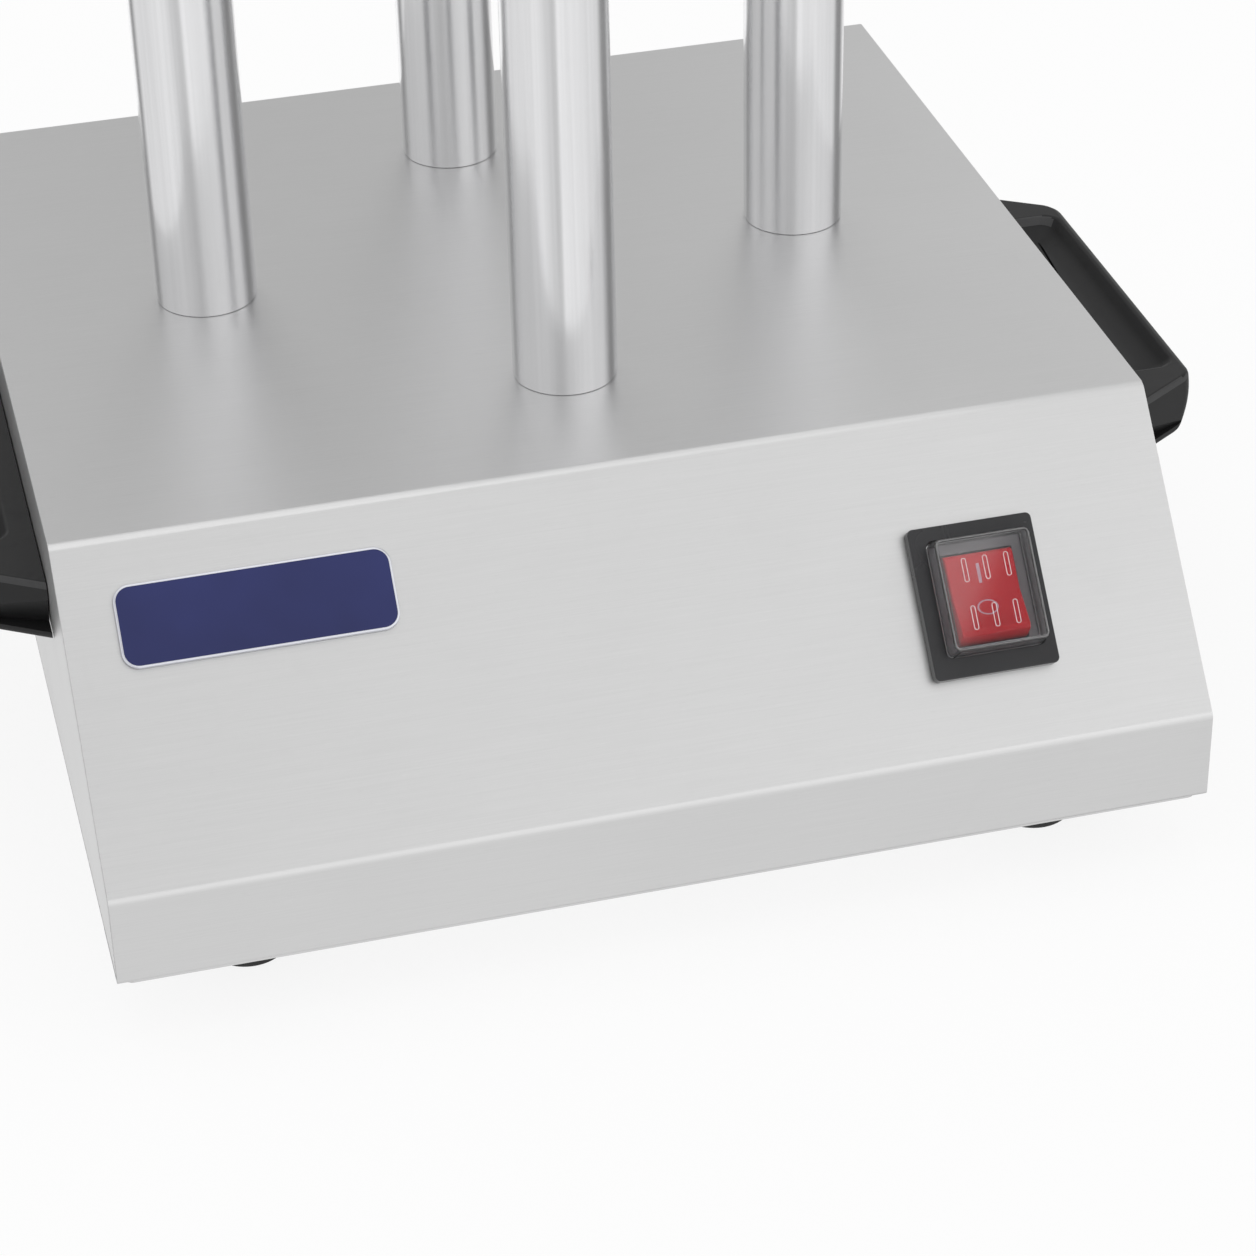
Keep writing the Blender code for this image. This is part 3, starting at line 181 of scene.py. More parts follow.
class SwitchSettings(bpy.types.PropertyGroup):
    up_slope: length("Up the slope", 0.0370, "Distance of the switch's centre from the lower fold")
    frame_width: length("Frame width", 0.0310, "Width of the black frame")
    frame_length: length("Frame length", 0.0368, "Length of the black frame up the slope")
    frame_height: length("Frame height", 0.0030, "Thickness of the black frame")
    frame_corner: length("Frame corner", 0.0014, "Corner radius of the frame")
    frame_edge: length("Frame edge", 0.0003, "Softened edge of the frame")
    aside: length("Body offset", 0.0007, "How far the body, rocker and cap sit right of the frame's middle")
    body_width: length("Body width", 0.0222, "Width of the body behind the sheet")
    body_length: length("Body length", 0.0300, "Length of the body behind the sheet")
    body_depth: length("Body depth", 0.0220, "Depth of the body behind the sheet")
    well_depth: length("Well depth", 0.0100, "Depth of the well that the rocker moves in")
    seat_depth: length("Cap seat", 0.0012, "Depth of the cap's seat in the frame")
    cap_width: length("Cap width", 0.0242, "Width of the cap's foot")
    cap_length: length("Cap length", 0.0282, "Length of the cap's foot")
    cap_front_width: length("Cap front width", 0.0236, "Width of the cap's front")
    cap_front_length: length("Cap front length", 0.0270, "Length of the cap's front")
    cap_up: length("Cap offset", 0.00065, "How far the cap's middle lies above the body's")
    cap_level: length("Cap level", 0.0092, "Height of the cap's front above the sheet")
    cap_wall: length("Cap wall", 0.0008, "Thickness of the cap")
    cap_corner: length("Cap corner", 0.0016, "Corner radius of the cap")
    rib_width: length("Rib width", 0.00115, "Width of a moulded rib's outline on the cap")
    rib_length: length("Rib length", 0.0058, "Length of a moulded rib's outline on the cap")
    rib_line: length("Rib line", 0.00011, "Width of the raised line itself")
    rib_height: length("Rib height", 0.00018, "How far a rib stands out")
    rib_pitch: length("Rib pitch", 0.00525, "Distance between ribs in a row")
    rib_aside: length("Rib offset", 0.00050, "How far the rows lie to the left of the cap's middle")
    rib_upper: length("Upper row", 0.00535, "Height of the upper row above the cap's middle")
    rib_lower: length("Lower row", 0.00615, "Depth of the lower row below the cap's middle")
    rocker_width: length("Rocker width", 0.0170, "Width of the rocker")
    rocker_radius: length("Rocker half length", 0.0109, "Distance from the pivot to each end")
    rocker_face: length("Rocker face", 0.0039, "Distance of a pressed face from the pivot")
    rocker_foot: length("Rocker foot", 0.0032, "Depth of the rocker below its pivot")
    rocker_shoulder: length("Rocker shoulder", 0.0008, "Slanted shoulder at each end of the rocker")
    rocker_edge: length("Rocker edge", 0.0005, "Softened edges of the rocker")
    pivot_level: length("Pivot level", 0.0006, "Depth of the pivot below the sheet's face")
    travel: angle("Travel", 18, "How far the rocker tilts between off and on")
    pin: length("Pin diameter", 0.0024, "Diameter of the rocker's pivot pins")
    pin_length: length("Pin length", 0.0014, "Length of each pivot pin")


class SmallPartSettings(bpy.types.PropertyGroup):
    badge_width: length("Badge width", 0.0646, "Width of the bare badge")
    badge_height: length("Badge height", 0.0196, "Height of the bare badge")
    badge_depth: length("Badge thickness", 0.0012, "Thickness of the bare badge")
    badge_corner: length("Badge corner", 0.0040, "Corner radius of the badge")
    badge_rim: length("Badge rim", 0.00022, "Width of the pale rim round the enamel")
    badge_up: length("Badge up the slope", 0.0615, "Distance of the badge from the lower fold")
    foot_top: length("Foot top", 0.024, "Diameter of a foot under the housing")
    foot_ground: length("Foot ground", 0.020, "Diameter of a foot at the ground")
    foot_height: length("Foot height", 0.015, "Height of a foot")
    foot_edge: length("Foot edge", 0.0012, "Softened edge of a foot")
    foot_pocket: length("Foot pocket", 0.0100, "Diameter of the pocket for the screw")
    foot_pocket_depth: length("Pocket depth", 0.009, "Depth of the pocket for the screw")
    screw_hole: length("Screw hole", 0.0046, "Diameter of the screw holes")
    screw_head: length("Screw head", 0.008, "Diameter of a pan head")
    screw_head_height: length("Head height", 0.0024, "Height of a pan head")
    screw_shank: length("Screw shank", 0.004, "Diameter of a screw's shank")
    gland_hex: length("Gland flats", 0.0220, "Size of the gland's hexagon across its flats")
    gland_hex_depth: length("Gland hexagon", 0.0050, "Thickness of the gland's hexagon")
    gland_thread: length("Gland thread", 0.0160, "Diameter of the thread through the back")
    gland_neck: length("Gland neck", 0.0140, "Diameter of the neck inside the dome nut")
    gland_neck_length: length("Neck length", 0.0060, "Length of the neck inside the dome nut")
    gland_bore: length("Gland bore", 0.0080, "Diameter of the hole for the cord")
    dome_length: length("Dome length", 0.0130, "Length of the dome nut")
    dome_end: length("Dome end", 0.0130, "Diameter of the dome nut's outer end")


class FinishSettings(bpy.types.PropertyGroup):
    steel: colour("Stainless", (0.63, 0.63, 0.63), "Brushed stainless sheet")
    spike: colour("Spike metal", (0.76, 0.76, 0.77), "Satin turned spikes")
    zinc: colour("Zinc plate", (0.55, 0.55, 0.53), "Plated screws, washers and nuts")
    sheath: colour("Heater sheath", (0.42, 0.41, 0.39), "Drawn sheath of the heaters")
    brass: colour("Brass", (0.72, 0.50, 0.20), "Switch tabs")
    black: colour("Handle black", (0.013, 0.013, 0.0135), "Moulded side handles")
    # Painted highlight: a paler black for the handles' rounded top edges, standing in for the light they
    # catch
    edge: colour("Handle edge", (0.052, 0.052, 0.053), "Polished top edges of the handles")
    frame: colour("Switch black", (0.024, 0.024, 0.026), "Switch frame and body")
    # Painted light: the pale veil that the milky cap's scattered light lays over the black plastic under it
    haze: colour("Switch haze", (0.19, 0.187, 0.195), "Haze on the switch under its cap")
    rubber: colour("Rubber", (0.018, 0.018, 0.018), "Feet")
    nylon: colour("Nylon", (0.028, 0.028, 0.029), "Cable gland")
    red: colour("Rocker red", (0.64, 0.012, 0.022), "Rocker")
    cap: colour("Cap", (0.97, 0.965, 0.975), "Clear splash cap")
    rib: colour("Cap ribs", (0.95, 0.82, 0.84), "Moulded ribs on the cap")
    mark: colour("Switch marks", (0.66, 0.38, 0.46), "On and off marks on the rocker")
    navy: colour("Badge navy", (0.022, 0.028, 0.118), "Bare enamel of the badge")
    rim: colour("Badge rim", (0.66, 0.67, 0.72), "Pale edge round the enamel")
    ceramic: colour("Ceramic", (0.80, 0.78, 0.73), "Terminal block")
    sleeve: colour("Lead sleeve", (0.66, 0.63, 0.57), "Braided sleeve of the leads")
    earth: colour("Earth green", (0.23, 0.43, 0.05), "Earth lead")
    earth_stripe: colour("Earth yellow", (0.80, 0.66, 0.05), "Stripe of the earth lead")


class StudioSettings(bpy.types.PropertyGroup):
    floor: length("Floor size", 8.0, "Width of the pale floor")
    lens: length("Lens", 0.10488, "Focal length on a 36 mm wide sensor")
    key_power: bpy.props.FloatProperty(
        name="Main lamp", description="Power of the large soft lamp overhead", default=11.0, unit="POWER"
    )
    fill_power: bpy.props.FloatProperty(
        name="Fill lamp", description="Power of the soft lamp on the right", default=3.0, unit="POWER"
    )
    ambient: bpy.props.FloatProperty(
        name="Surroundings", description="Strength of the white surroundings", default=0.80, min=0.0
    )
    floor_white: colour("Floor colour", (0.88, 0.88, 0.88), "Colour of the floor under the lamps")


class MachineSettings(bpy.types.PropertyGroup):
    housing: bpy.props.PointerProperty(type=HousingSettings)
    spikes: bpy.props.PointerProperty(type=SpikeSettings)
    handles: bpy.props.PointerProperty(type=HandleSettings)
    switch: bpy.props.PointerProperty(type=SwitchSettings)
    small: bpy.props.PointerProperty(type=SmallPartSettings)
    finishes: bpy.props.PointerProperty(type=FinishSettings)
    studio: bpy.props.PointerProperty(type=StudioSettings)


# Selecting and shaping

def leave_edit():
    if bpy.context.object and bpy.context.object.mode != "OBJECT":
        bpy.ops.object.mode_set(mode="OBJECT")


def deselect():
    leave_edit()
    bpy.ops.object.select_all(action="DESELECT")


def named(name):
    """Names the object that was just made, and its mesh."""
    made = bpy.context.object
    made.name = made.data.name = name
    return made


def clear_away(piece):
    bpy.data.objects.remove(piece, do_unlink=True)


def apply_place():
    bpy.ops.object.transform_apply(location=True, rotation=True, scale=True)


def work_on(piece):
    """Selects one piece alone and makes it the active one."""
    deselect()
    piece.select_set(True)
    bpy.context.view_layer.objects.active = piece
    return piece


def edit(piece):
    work_on(piece)
    bpy.ops.object.mode_set(mode="EDIT")


def pick(kind, test):
    """In edit mode, selects the vertices, edges or faces that pass a test, and nothing else."""
    bpy.ops.mesh.select_mode(type=kind)
    bpy.ops.mesh.select_all(action="DESELECT")
    mesh = bpy.context.edit_object.data
    shape = bmesh.from_edit_mesh(mesh)
    parts = {"VERT": shape.verts, "EDGE": shape.edges, "FACE": shape.faces}[kind]
    chosen = [part for part in parts if test(part)]
    if not chosen:
        raise RuntimeError(f"nothing to select on {bpy.context.edit_object.name}")
    for part in chosen:
        part.select_set(True)
    shape.select_flush_mode()
    bmesh.update_edit_mesh(mesh)


def near(value, target, reach=NEAR):
    return abs(value - target) < reach


def ends_at(**place):
    """A test for edges and faces whose corners all lie at these coordinates."""
    def test(part):
        return all(
            near(getattr(corner.co, axis), value) for corner in part.verts for axis, value in place.items()
        )
    return test


def ends_at_corner(x, y, z):
    """A test for the one corner that lies here."""
    return lambda corner: (corner.co - Vector((x, y, z))).length < NEAR


def upright(edge):
    first, last = (corner.co for corner in edge.verts)
    return near(first.x, last.x) and near(first.y, last.y)


def extrude(step):
    bpy.ops.mesh.extrude_region_move(TRANSFORM_OT_translate={"value": tuple(step)})


def shift(step):
    bpy.ops.transform.translate(value=tuple(step))


def bevel(width, steps):
    bpy.ops.mesh.bevel(
        offset_type="OFFSET", offset=width, segments=steps, affect="EDGES", clamp_overlap=False
    )


def round_off(test, width, steps):
    """In edit mode, rounds the edges that pass a test."""
    pick("EDGE", test)
    bevel(width, steps)


def use_second_material(piece):
    """In edit mode, gives the selected faces the piece's second material."""
    piece.active_material_index = 1
    bpy.ops.object.material_slot_assign()


def narrow(centre, width, length, draft):
    """Draws the selection in by the same draft on every side of a width and a length."""
    factors = (1 - 2 * draft / width, 1 - 2 * draft / length, 1)
    bpy.ops.transform.resize(value=factors, center_override=centre)


def tangent(radius, turn):
    """How far a fold of this outer radius starts before its corner."""
    return radius * math.tan(turn / 2)


def fold_corners(folds, steps):
    """Rounds a profile's corners, each given as its Y, its Z, its outer radius and its turn."""
    for y, z, radius, turn in folds:
        round_off(ends_at(y=y, z=z), tangent(radius, turn), steps)


def set_in_place(piece, place):
    """Puts a piece's place into its mesh, so that its object stays at the origin."""
    work_on(piece)
    piece.matrix_world = place
    apply_place()
    return piece


def add_block(name, low, high):
    deselect()
    low, high = Vector(low), Vector(high)
    bpy.ops.mesh.primitive_cube_add(size=1, location=(low + high) / 2)
    block = named(name)
    block.scale = high - low
    apply_place()
    return block


def rounded_block(name, low, high, corner, corner_steps=6, rim=0.0, rim_steps=3):
    """A block with its upright edges rounded, and its top rim softened where rim is given."""
    block = add_block(name, low, high)
    edit(block)
    round_off(upright, corner, corner_steps)
    if rim:
        round_off(ends_at(z=high[2]), rim, rim_steps)
    leave_edit()
    return block


def add_rod(name, diameter, low, high, sides=32, centre=(0, 0)):
    deselect()
    bpy.ops.mesh.primitive_cylinder_add(
        vertices=sides,
        radius=diameter / 2,
        depth=high - low,
        location=(centre[0], centre[1], (low + high) / 2),
    )
    rod = named(name)
    apply_place()
    return rod


def start_outline(name, point):
    """A mesh of one vertex, to be extruded along an outline."""
    deselect()
    bpy.ops.mesh.primitive_plane_add(size=0.001, location=(0, 0, 0))
    outline = named(name)
    edit(outline)
    bpy.ops.mesh.select_all(action="SELECT")
    bpy.ops.mesh.merge(type="CENTER")
    bpy.ops.mesh.select_mode(type="VERT")
    bpy.ops.mesh.select_all(action="SELECT")
    shift(point)
    return outline


def follow(points):
    """Extrudes the selected vertex from point to point."""
    for before, after in zip(points, points[1:]):
        extrude(Vector(after) - Vector(before))


def turn_profile(name, profile, sides):
    """Spins (radius, height) points about the vertical axis. A ring's profile ends where it starts."""
    points = [(radius, 0, height) for radius, height in profile]
    turned = start_outline(name, points[0])
    follow(points)
    bpy.ops.mesh.select_all(action="SELECT")
    bpy.ops.mesh.spin(steps=sides, angle=math.tau, center=(0, 0, 0), axis=(0, 0, 1))
    bpy.ops.mesh.select_all(action="SELECT")
    bpy.ops.mesh.remove_doubles(threshold=MERGE_REACH)
    bpy.ops.mesh.normals_make_consistent(inside=False)
    leave_edit()
    return turned


def arc(centre, radius, start, stop, steps, stretch=1.0):
    """Profile points on a part of a circle, from one turn in degrees to another."""
    points = []
    for step in range(steps + 1):
        turn = math.radians(start + (stop - start) * step / steps)
        points.append((centre[0] + radius * math.cos(turn), centre[1] + stretch * radius * math.sin(turn)))
    return points


def thread_rings(radius, low, high, rings, crest):
    """Profile points of rings that stand in for a thread. Crest holds shares of the pitch."""
    root, pitch = radius - THREAD_DEPTH, (high - low) / rings
    points = [(root, low)]
    for ring in range(rings):
        start = low + ring * pitch
        points += [(radius, start + pitch * part) for part in crest]
        points.append((root, start + pitch))
    return points


def prism(name, corners, step):
    """A flat outline of 3D corners, filled and extruded by step."""
    outline = start_outline(name, corners[0])
    follow([*corners, corners[0]])
    bpy.ops.mesh.select_all(action="SELECT")
    bpy.ops.mesh.remove_doubles(threshold=MERGE_REACH)
    bpy.ops.mesh.edge_face_add()
    bpy.ops.mesh.select_all(action="SELECT")
    extrude(step)
    finish_edit()
    return outline


def recalculate():
    bpy.ops.mesh.select_all(action="SELECT")
    bpy.ops.mesh.normals_make_consistent(inside=False)


def finish_edit():
    recalculate()
    leave_edit()


def apply_modifier(piece, kind, **settings):
    work_on(piece)
    bpy.ops.object.modifier_add(type=kind)
    modifier = piece.modifiers[-1]
    for name, value in settings.items():
        setattr(modifier, name, value)
    bpy.ops.object.modifier_apply(modifier=modifier.name)
    return piece


def combine(piece, others, operation):
    """Cuts other shapes from a piece or joins them on, and clears them away."""
    for other in others:
        apply_modifier(piece, "BOOLEAN", operation=operation, solver="EXACT", object=other)
        clear_away(other)
    return piece


def cut(piece, *cutters):
    return combine(piece, cutters, "DIFFERENCE")


def join(piece, *extras):
    return combine(piece, extras, "UNION")


def copy_of(piece, name, place):
    """A copy with its own mesh, set in its own place."""
    work_on(piece)
    bpy.ops.object.duplicate(linked=False)
    twin = bpy.context.object
    if twin.data == piece.data:
        twin.data = piece.data.copy()
    return set_in_place(named(name), place)


def hand_over(piece, name, material, nodes, body=MACHINE, smooth=SMOOTH_ANGLE):
    """Finishes a piece: outward faces, smooth shading, its material, its body and its CAD nodes."""
    edit(piece)
    finish_edit()
    bpy.ops.object.shade_smooth_by_angle(angle=smooth)
    apply_modifier(piece, "WEIGHTED_NORMAL", keep_sharp=True)
    piece.name = piece.data.name = name
    if material:
        piece.data.materials.clear()
        piece.data.materials.append(material)
    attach(piece, body)
    if nodes:
        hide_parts(*nodes)
    return piece


def hand_over_copies(model, places, name, material, kind):
    """Finishes a copy of a model at each named place, and clears the model away."""
    for spot, place in places.items():
        twin = copy_of(model, f"twin_{spot}", place)
        hand_over(twin, f"{name}_{spot}", material, [f"{kind}_{spot}"])
    clear_away(model)


def mirrored():
    """The places of a piece on the right and of its mirror image on the left."""
    return {side: Matrix.Diagonal((sign, 1, 1, 1)) for side, sign in SIDES}


def move(x, y, z):
    return Matrix.Translation((x, y, z))


def middle_of(node):
    low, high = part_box(node)
    return (low + high) / 2


def slope_place(housing, x, up, out=0.0):
    """On the slope: local Y runs up it and local Z points out of it."""
    corner = move(0, FRONT, BOTTOM + housing.strip)
    return corner @ Matrix.Rotation(slope_angle(housing), 4, "X") @ move(x, up, out)


def slope_angle(housing):
    return math.atan2(housing.rise, housing.run)


# Node groups

def node(tree, kind, inputs=None, **settings):
    """Adds a node. An input is given a plain value or is linked to a socket."""
    made = tree.nodes.new(kind)
    for name, value in settings.items():
        setattr(made, name, value)
    for name, value in (inputs or {}).items():
        if isinstance(value, bpy.types.NodeSocket):
            tree.links.new(value, made.inputs[name])
        else:
            made.inputs[name].default_value = value
    return made


def blend(tree, factor, first, second):
    """A colour between two colours."""
    mix = node(tree, "ShaderNodeMix", {0: factor, 6: first, 7: second}, data_type="RGBA")
    return mix.outputs[2]


def spread(tree, value, low, high, new_low, new_high):
    """A value moved from one range to another, and kept inside it."""
    ranges = {"Value": value, "From Min": low, "From Max": high, "To Min": new_low, "To Max": new_high}
    return node(tree, "ShaderNodeMapRange", ranges).outputs[0]


def window(tree, value, low, high, soft):
    """One between two values and nothing outside them, with soft ends."""
    rising = spread(tree, value, low, low + soft, 0, 1)
    return times(tree, rising, spread(tree, value, high - soft, high, 1, 0))


def maths(tree, operation, first, second):
    return node(tree, "ShaderNodeMath", {0: first, 1: second}, operation=operation).outputs[0]


def times(tree, first, second):
    return maths(tree, "MULTIPLY", first, second)


def plus(tree, first, second):
    return maths(tree, "ADD", first, second)


def between(tree, factor, first, second):
    """A value between two values."""
    return node(tree, "ShaderNodeMix", {0: factor, 2: first, 3: second}).outputs[0]


def along(tree, vector, direction):
    """How far a direction points the same way as another."""
    product = node(tree, "ShaderNodeVectorMath", {0: vector, 1: direction}, operation="DOT_PRODUCT")
    return product.outputs["Value"]


def steps_of(tree, value, stops):
    """A value read from stops of (place, value), with straight lines between them."""
    ramp = node(tree, "ShaderNodeValToRGB", {0: value})
    elements = ramp.color_ramp.elements
    for index, (place, height) in enumerate(stops):
        if index < 2:
            stop = elements[index]
            stop.position = place
        else:
            stop = elements.new(place)
        stop.color = (height, height, height, 1)
    return ramp.outputs[0]


def noise(tree, vector, scale, detail=2.0, distortion=0.0):
    inputs = {"Vector": vector, "Scale": scale, "Detail": detail, "Distortion": distortion}
    return node(tree, "ShaderNodeTexNoise", inputs).outputs[0]


def stretched_noise(tree, vector, scale, detail):
    mapped = node(tree, "ShaderNodeMapping", {"Vector": vector, "Scale": scale})
    return noise(tree, mapped.outputs[0], 1.0, detail)


def once(kind, name):
    """Makes a material or node group the first time, and gives the same one after that."""
    def keep(maker):
        def get(*values):
            return getattr(bpy.data, kind).get(name) or maker(name, *values)
        return get
    return keep


def new_group(name, inputs, outputs):
    """An empty shader group, with its input and output nodes."""
    group = bpy.data.node_groups.new(name, "ShaderNodeTree")
    for label, kind, default in inputs:
        socket = group.interface.new_socket(name=label, in_out="INPUT", socket_type=f"NodeSocket{kind}")
        socket.default_value = default
    for label in outputs:
        group.interface.new_socket(name=label, in_out="OUTPUT", socket_type="NodeSocketFloat")
    return group, group.nodes.new("NodeGroupInput"), group.nodes.new("NodeGroupOutput")


@once("node_groups", "Brushed grain")
def brushed_grain(name):
    """Fine hairlines of a brushed or drawn surface, with sparse short dashes, pale and dark."""
    inputs = [
        ("Vector", "Vector", (0, 0, 0)),
        ("Dash", "Vector", (300, 2600, 2600)),
        ("Hair", "Vector", (40, 3000, 3000)),
    ]
    group, source, result = new_group(name, inputs, ("Hairlines", "Pale dashes", "Dark dashes"))
    dash = stretched_noise(group, source.outputs["Vector"], source.outputs["Dash"], 1.0)
    hair = stretched_noise(group, source.outputs["Vector"], source.outputs["Hair"], 3.0)
    group.links.new(spread(group, hair, 0.30, 0.70, 0.0, 1.0), result.inputs["Hairlines"])
    group.links.new(spread(group, dash, 0.66, 0.80, 0.0, 1.0), result.inputs["Pale dashes"])
    group.links.new(spread(group, dash, 0.34, 0.20, 0.0, 1.0), result.inputs["Dark dashes"])
    return group


@once("node_groups", "Handling marks")
def handling_marks(name):
    """Wide faint blotches and smaller wiped smudges."""
    inputs = [("Vector", "Vector", (0, 0, 0)), ("Blotch", "Float", 16.0), ("Smudge", "Float", 60.0)]
    group, source, result = new_group(name, inputs, ("Blotches", "Smudges"))
    vector = source.outputs["Vector"]
    wide = noise(group, vector, source.outputs["Blotch"])
    small = noise(group, vector, source.outputs["Smudge"], 4.0, 1.2)
    blotches = spread(group, wide, 0.35, 0.65, 0.0, 1.0)
    smudges = spread(group, small, 0.56, 0.74, 0.0, 1.0)
    group.links.new(blotches, result.inputs["Blotches"])
    group.links.new(times(group, smudges, blotches), result.inputs["Smudges"])
    return group


@once("node_groups", "Moulded grain")
def moulded_grain(name):
    """The fine even grain of moulded plastic and rubber, with a slow change of gloss."""
    inputs = [("Vector", "Vector", (0, 0, 0)), ("Fineness", "Float", 2600.0), ("Flow", "Float", 45.0)]
    group, source, result = new_group(name, inputs, ("Height", "Flow"))
    vector = source.outputs["Vector"]
    fine = noise(group, vector, source.outputs["Fineness"], 3.0)
    slow = noise(group, vector, source.outputs["Flow"])
    group.links.new(fine, result.inputs["Height"])
    group.links.new(spread(group, slow, 0.3, 0.7, 0.0, 1.0), result.inputs["Flow"])
    return group


def use_group(tree, group, inputs):
    return node(tree, "ShaderNodeGroup", inputs, node_tree=group)


# Finishes

def tinted(base, factor):
    return (*(min(1.0, part * factor) for part in base), 1.0)


def start_material(name):
    """A new material with its shader and its Object coordinates."""
    material = bpy.data.materials.new(name)
    material.use_nodes = True
    tree = material.node_tree
    place = node(tree, "ShaderNodeTexCoord").outputs["Object"]
    return material, tree, tree.nodes["Principled BSDF"], place


def paint(tree, shader, tone, gloss):
    """Gives the shader its colour and its roughness."""
    tree.links.new(tone, shader.inputs["Base Color"])
    tree.links.new(gloss, shader.inputs["Roughness"])


def add_bump(tree, shader, height, strength, depth=BUMP_DEPTH):
    bump = node(tree, "ShaderNodeBump", {"Height": height, "Strength": strength, "Distance": depth})
    tree.links.new(bump.outputs[0], shader.inputs["Normal"])


def brushed_metal(name, base, dash, hair, rough=0.36, contrast=0.02, bump=0.10, marks=0.5):
    """Brushed or drawn metal: grain in its colour, gloss and relief, with faint handling marks."""
    material = bpy.data.materials.get(name)
    if material:
        return material
    material, tree, shader, place = start_material(name)
    grain = use_group(tree, brushed_grain(), {"Vector": place, "Dash": dash, "Hair": hair})
    worn = use_group(tree, handling_marks(), {"Vector": place})
    lines = grain.outputs["Hairlines"]
    tone = blend(tree, lines, tinted(base, 1 - contrast), tinted(base, 1 + contrast))
    cloudy = times(tree, worn.outputs["Blotches"], 0.08 * marks)
    tone = blend(tree, cloudy, tone, tinted(base, 0.7))
    for output, share_of_tone, factor in (("Pale dashes", 4.0, 1.3), ("Dark dashes", 5.0, 0.7)):
        dashes = times(tree, grain.outputs[output], share_of_tone * contrast)
        tone = blend(tree, dashes, tone, tinted(base, factor))
    dulled = times(tree, worn.outputs["Smudges"], 0.10 * marks)
    tone = blend(tree, dulled, tone, tinted(base, 0.72))
    gloss = spread(tree, lines, 0.0, 1.0, rough - 0.02, rough + 0.02)
    gloss = plus(tree, gloss, times(tree, worn.outputs["Blotches"], 0.05 * marks))
    paint(tree, shader, tone, gloss)
    shader.inputs["Metallic"].default_value = 1.0
    add_bump(tree, shader, lines, bump)
    return material


def moulded_plastic(name, base, rough=0.4, grain=2600.0, bump=0.2, flow=0.08, paler=1.5, shine=0.5):
    """Moulded plastic or rubber: fine grain, and gloss and tone that change slowly."""
    material = bpy.data.materials.get(name)
    if material:
        return material
    material, tree, shader, place = start_material(name)
    mould = use_group(tree, moulded_grain(), {"Vector": place, "Fineness": grain})
    worn = use_group(tree, handling_marks(), {"Vector": place, "Blotch": 30.0, "Smudge": 120.0})
    tone = blend(tree, mould.outputs["Flow"], tinted(base, 0.88), tinted(base, 1.12))
    dusty = times(tree, worn.outputs["Smudges"], 0.25)
    tone = blend(tree, dusty, tone, tinted(base, paler))
    gloss = spread(tree, mould.outputs["Flow"], 0.0, 1.0, rough - flow / 2, rough + flow / 2)
    gloss = plus(tree, gloss, times(tree, worn.outputs["Smudges"], 0.10))
    paint(tree, shader, tone, gloss)
    shader.inputs["Specular IOR Level"].default_value = shine
    add_bump(tree, shader, mould.outputs["Height"], bump)
    return material


def stainless(finishes, way):
    """Brushed stainless with its grain along X on the folded sheet, or along Y on the side panels."""
    if way == "Y":
        dash, hair = (2600, 300, 2600), (3000, 40, 3000)
    else:
        dash, hair = (300, 2600, 2600), (40, 3000, 3000)
    return brushed_metal(f"brushed stainless along {way}", finishes.steel, dash, hair)


@once("materials", "satin turned spike")
def satin_spike(name, finishes):
    """Satin turned metal: rings from turning, and faint drawn streaks up the spike."""
    material, tree, shader, place = start_material(name)
    streaks = stretched_noise(tree, place, (900, 900, 9), 3.0)
    rings = stretched_noise(tree, place, (30, 30, 5200), 2.0)
    worn = use_group(tree, handling_marks(), {"Vector": place, "Blotch": 26.0, "Smudge": 90.0})
    level = spread(tree, streaks, 0.35, 0.65, 0.0, 1.0)
    tone = blend(tree, level, tinted(finishes.spike, 0.975), tinted(finishes.spike, 1.025))
    dulled = times(tree, worn.outputs["Smudges"], 0.06)
    tone = blend(tree, dulled, tone, tinted(finishes.spike, 0.75))
    gloss = spread(tree, rings, 0.3, 0.7, 0.17, 0.21)
    gloss = plus(tree, gloss, times(tree, worn.outputs["Blotches"], 0.04))
    paint(tree, shader, tone, gloss)
    shader.inputs["Metallic"].default_value = 1.0
    add_bump(tree, shader, rings, 0.08)
    return material


def zinc_plate(finishes):
    return brushed_metal(
        "bright zinc plate", finishes.zinc, (900, 900, 900), (300, 300, 2200), rough=0.34, contrast=0.05
    )


def rocker_red(finishes):
    return moulded_plastic(
        "rocker red", finishes.red, rough=0.38, grain=1800.0, bump=0.08, paler=1.25, shine=0.25
    )


def clear_cap(finishes, name="soft clear cap", clear=0.987):
    """Soft clear plastic, slightly hazy, with faint wiped marks."""
    material = bpy.data.materials.get(name)
    if material:
        return material
    material, tree, shader, place = start_material(name)
    worn = use_group(tree, handling_marks(), {"Vector": place, "Blotch": 70.0, "Smudge": 260.0})
    tone = blend(tree, worn.outputs["Blotches"], tinted(finishes.cap, 0.98), tinted(finishes.cap, 1.02))
    gloss = spread(tree, worn.outputs["Smudges"], 0.0, 1.0, 0.04, 0.08)
    paint(tree, shader, tone, gloss)
    shader.inputs["Transmission Weight"].default_value = clear
    shader.inputs["IOR"].default_value = 1.5
    return material


def cap_rib(finishes):
    return moulded_plastic(
        "moulded cap rib", finishes.rib, rough=0.22, grain=3000.0, bump=0.05, paler=1.05
    )


def badge_enamel(finishes):
    return moulded_plastic(
        "navy enamel", finishes.navy, rough=0.45, grain=900.0, bump=0.05, flow=0.04, paler=1.1, shine=0.3
    )


def glazed_ceramic(finishes):
    return moulded_plastic("pale ceramic", finishes.ceramic, rough=0.55, grain=1400.0, bump=0.3, paler=0.9)


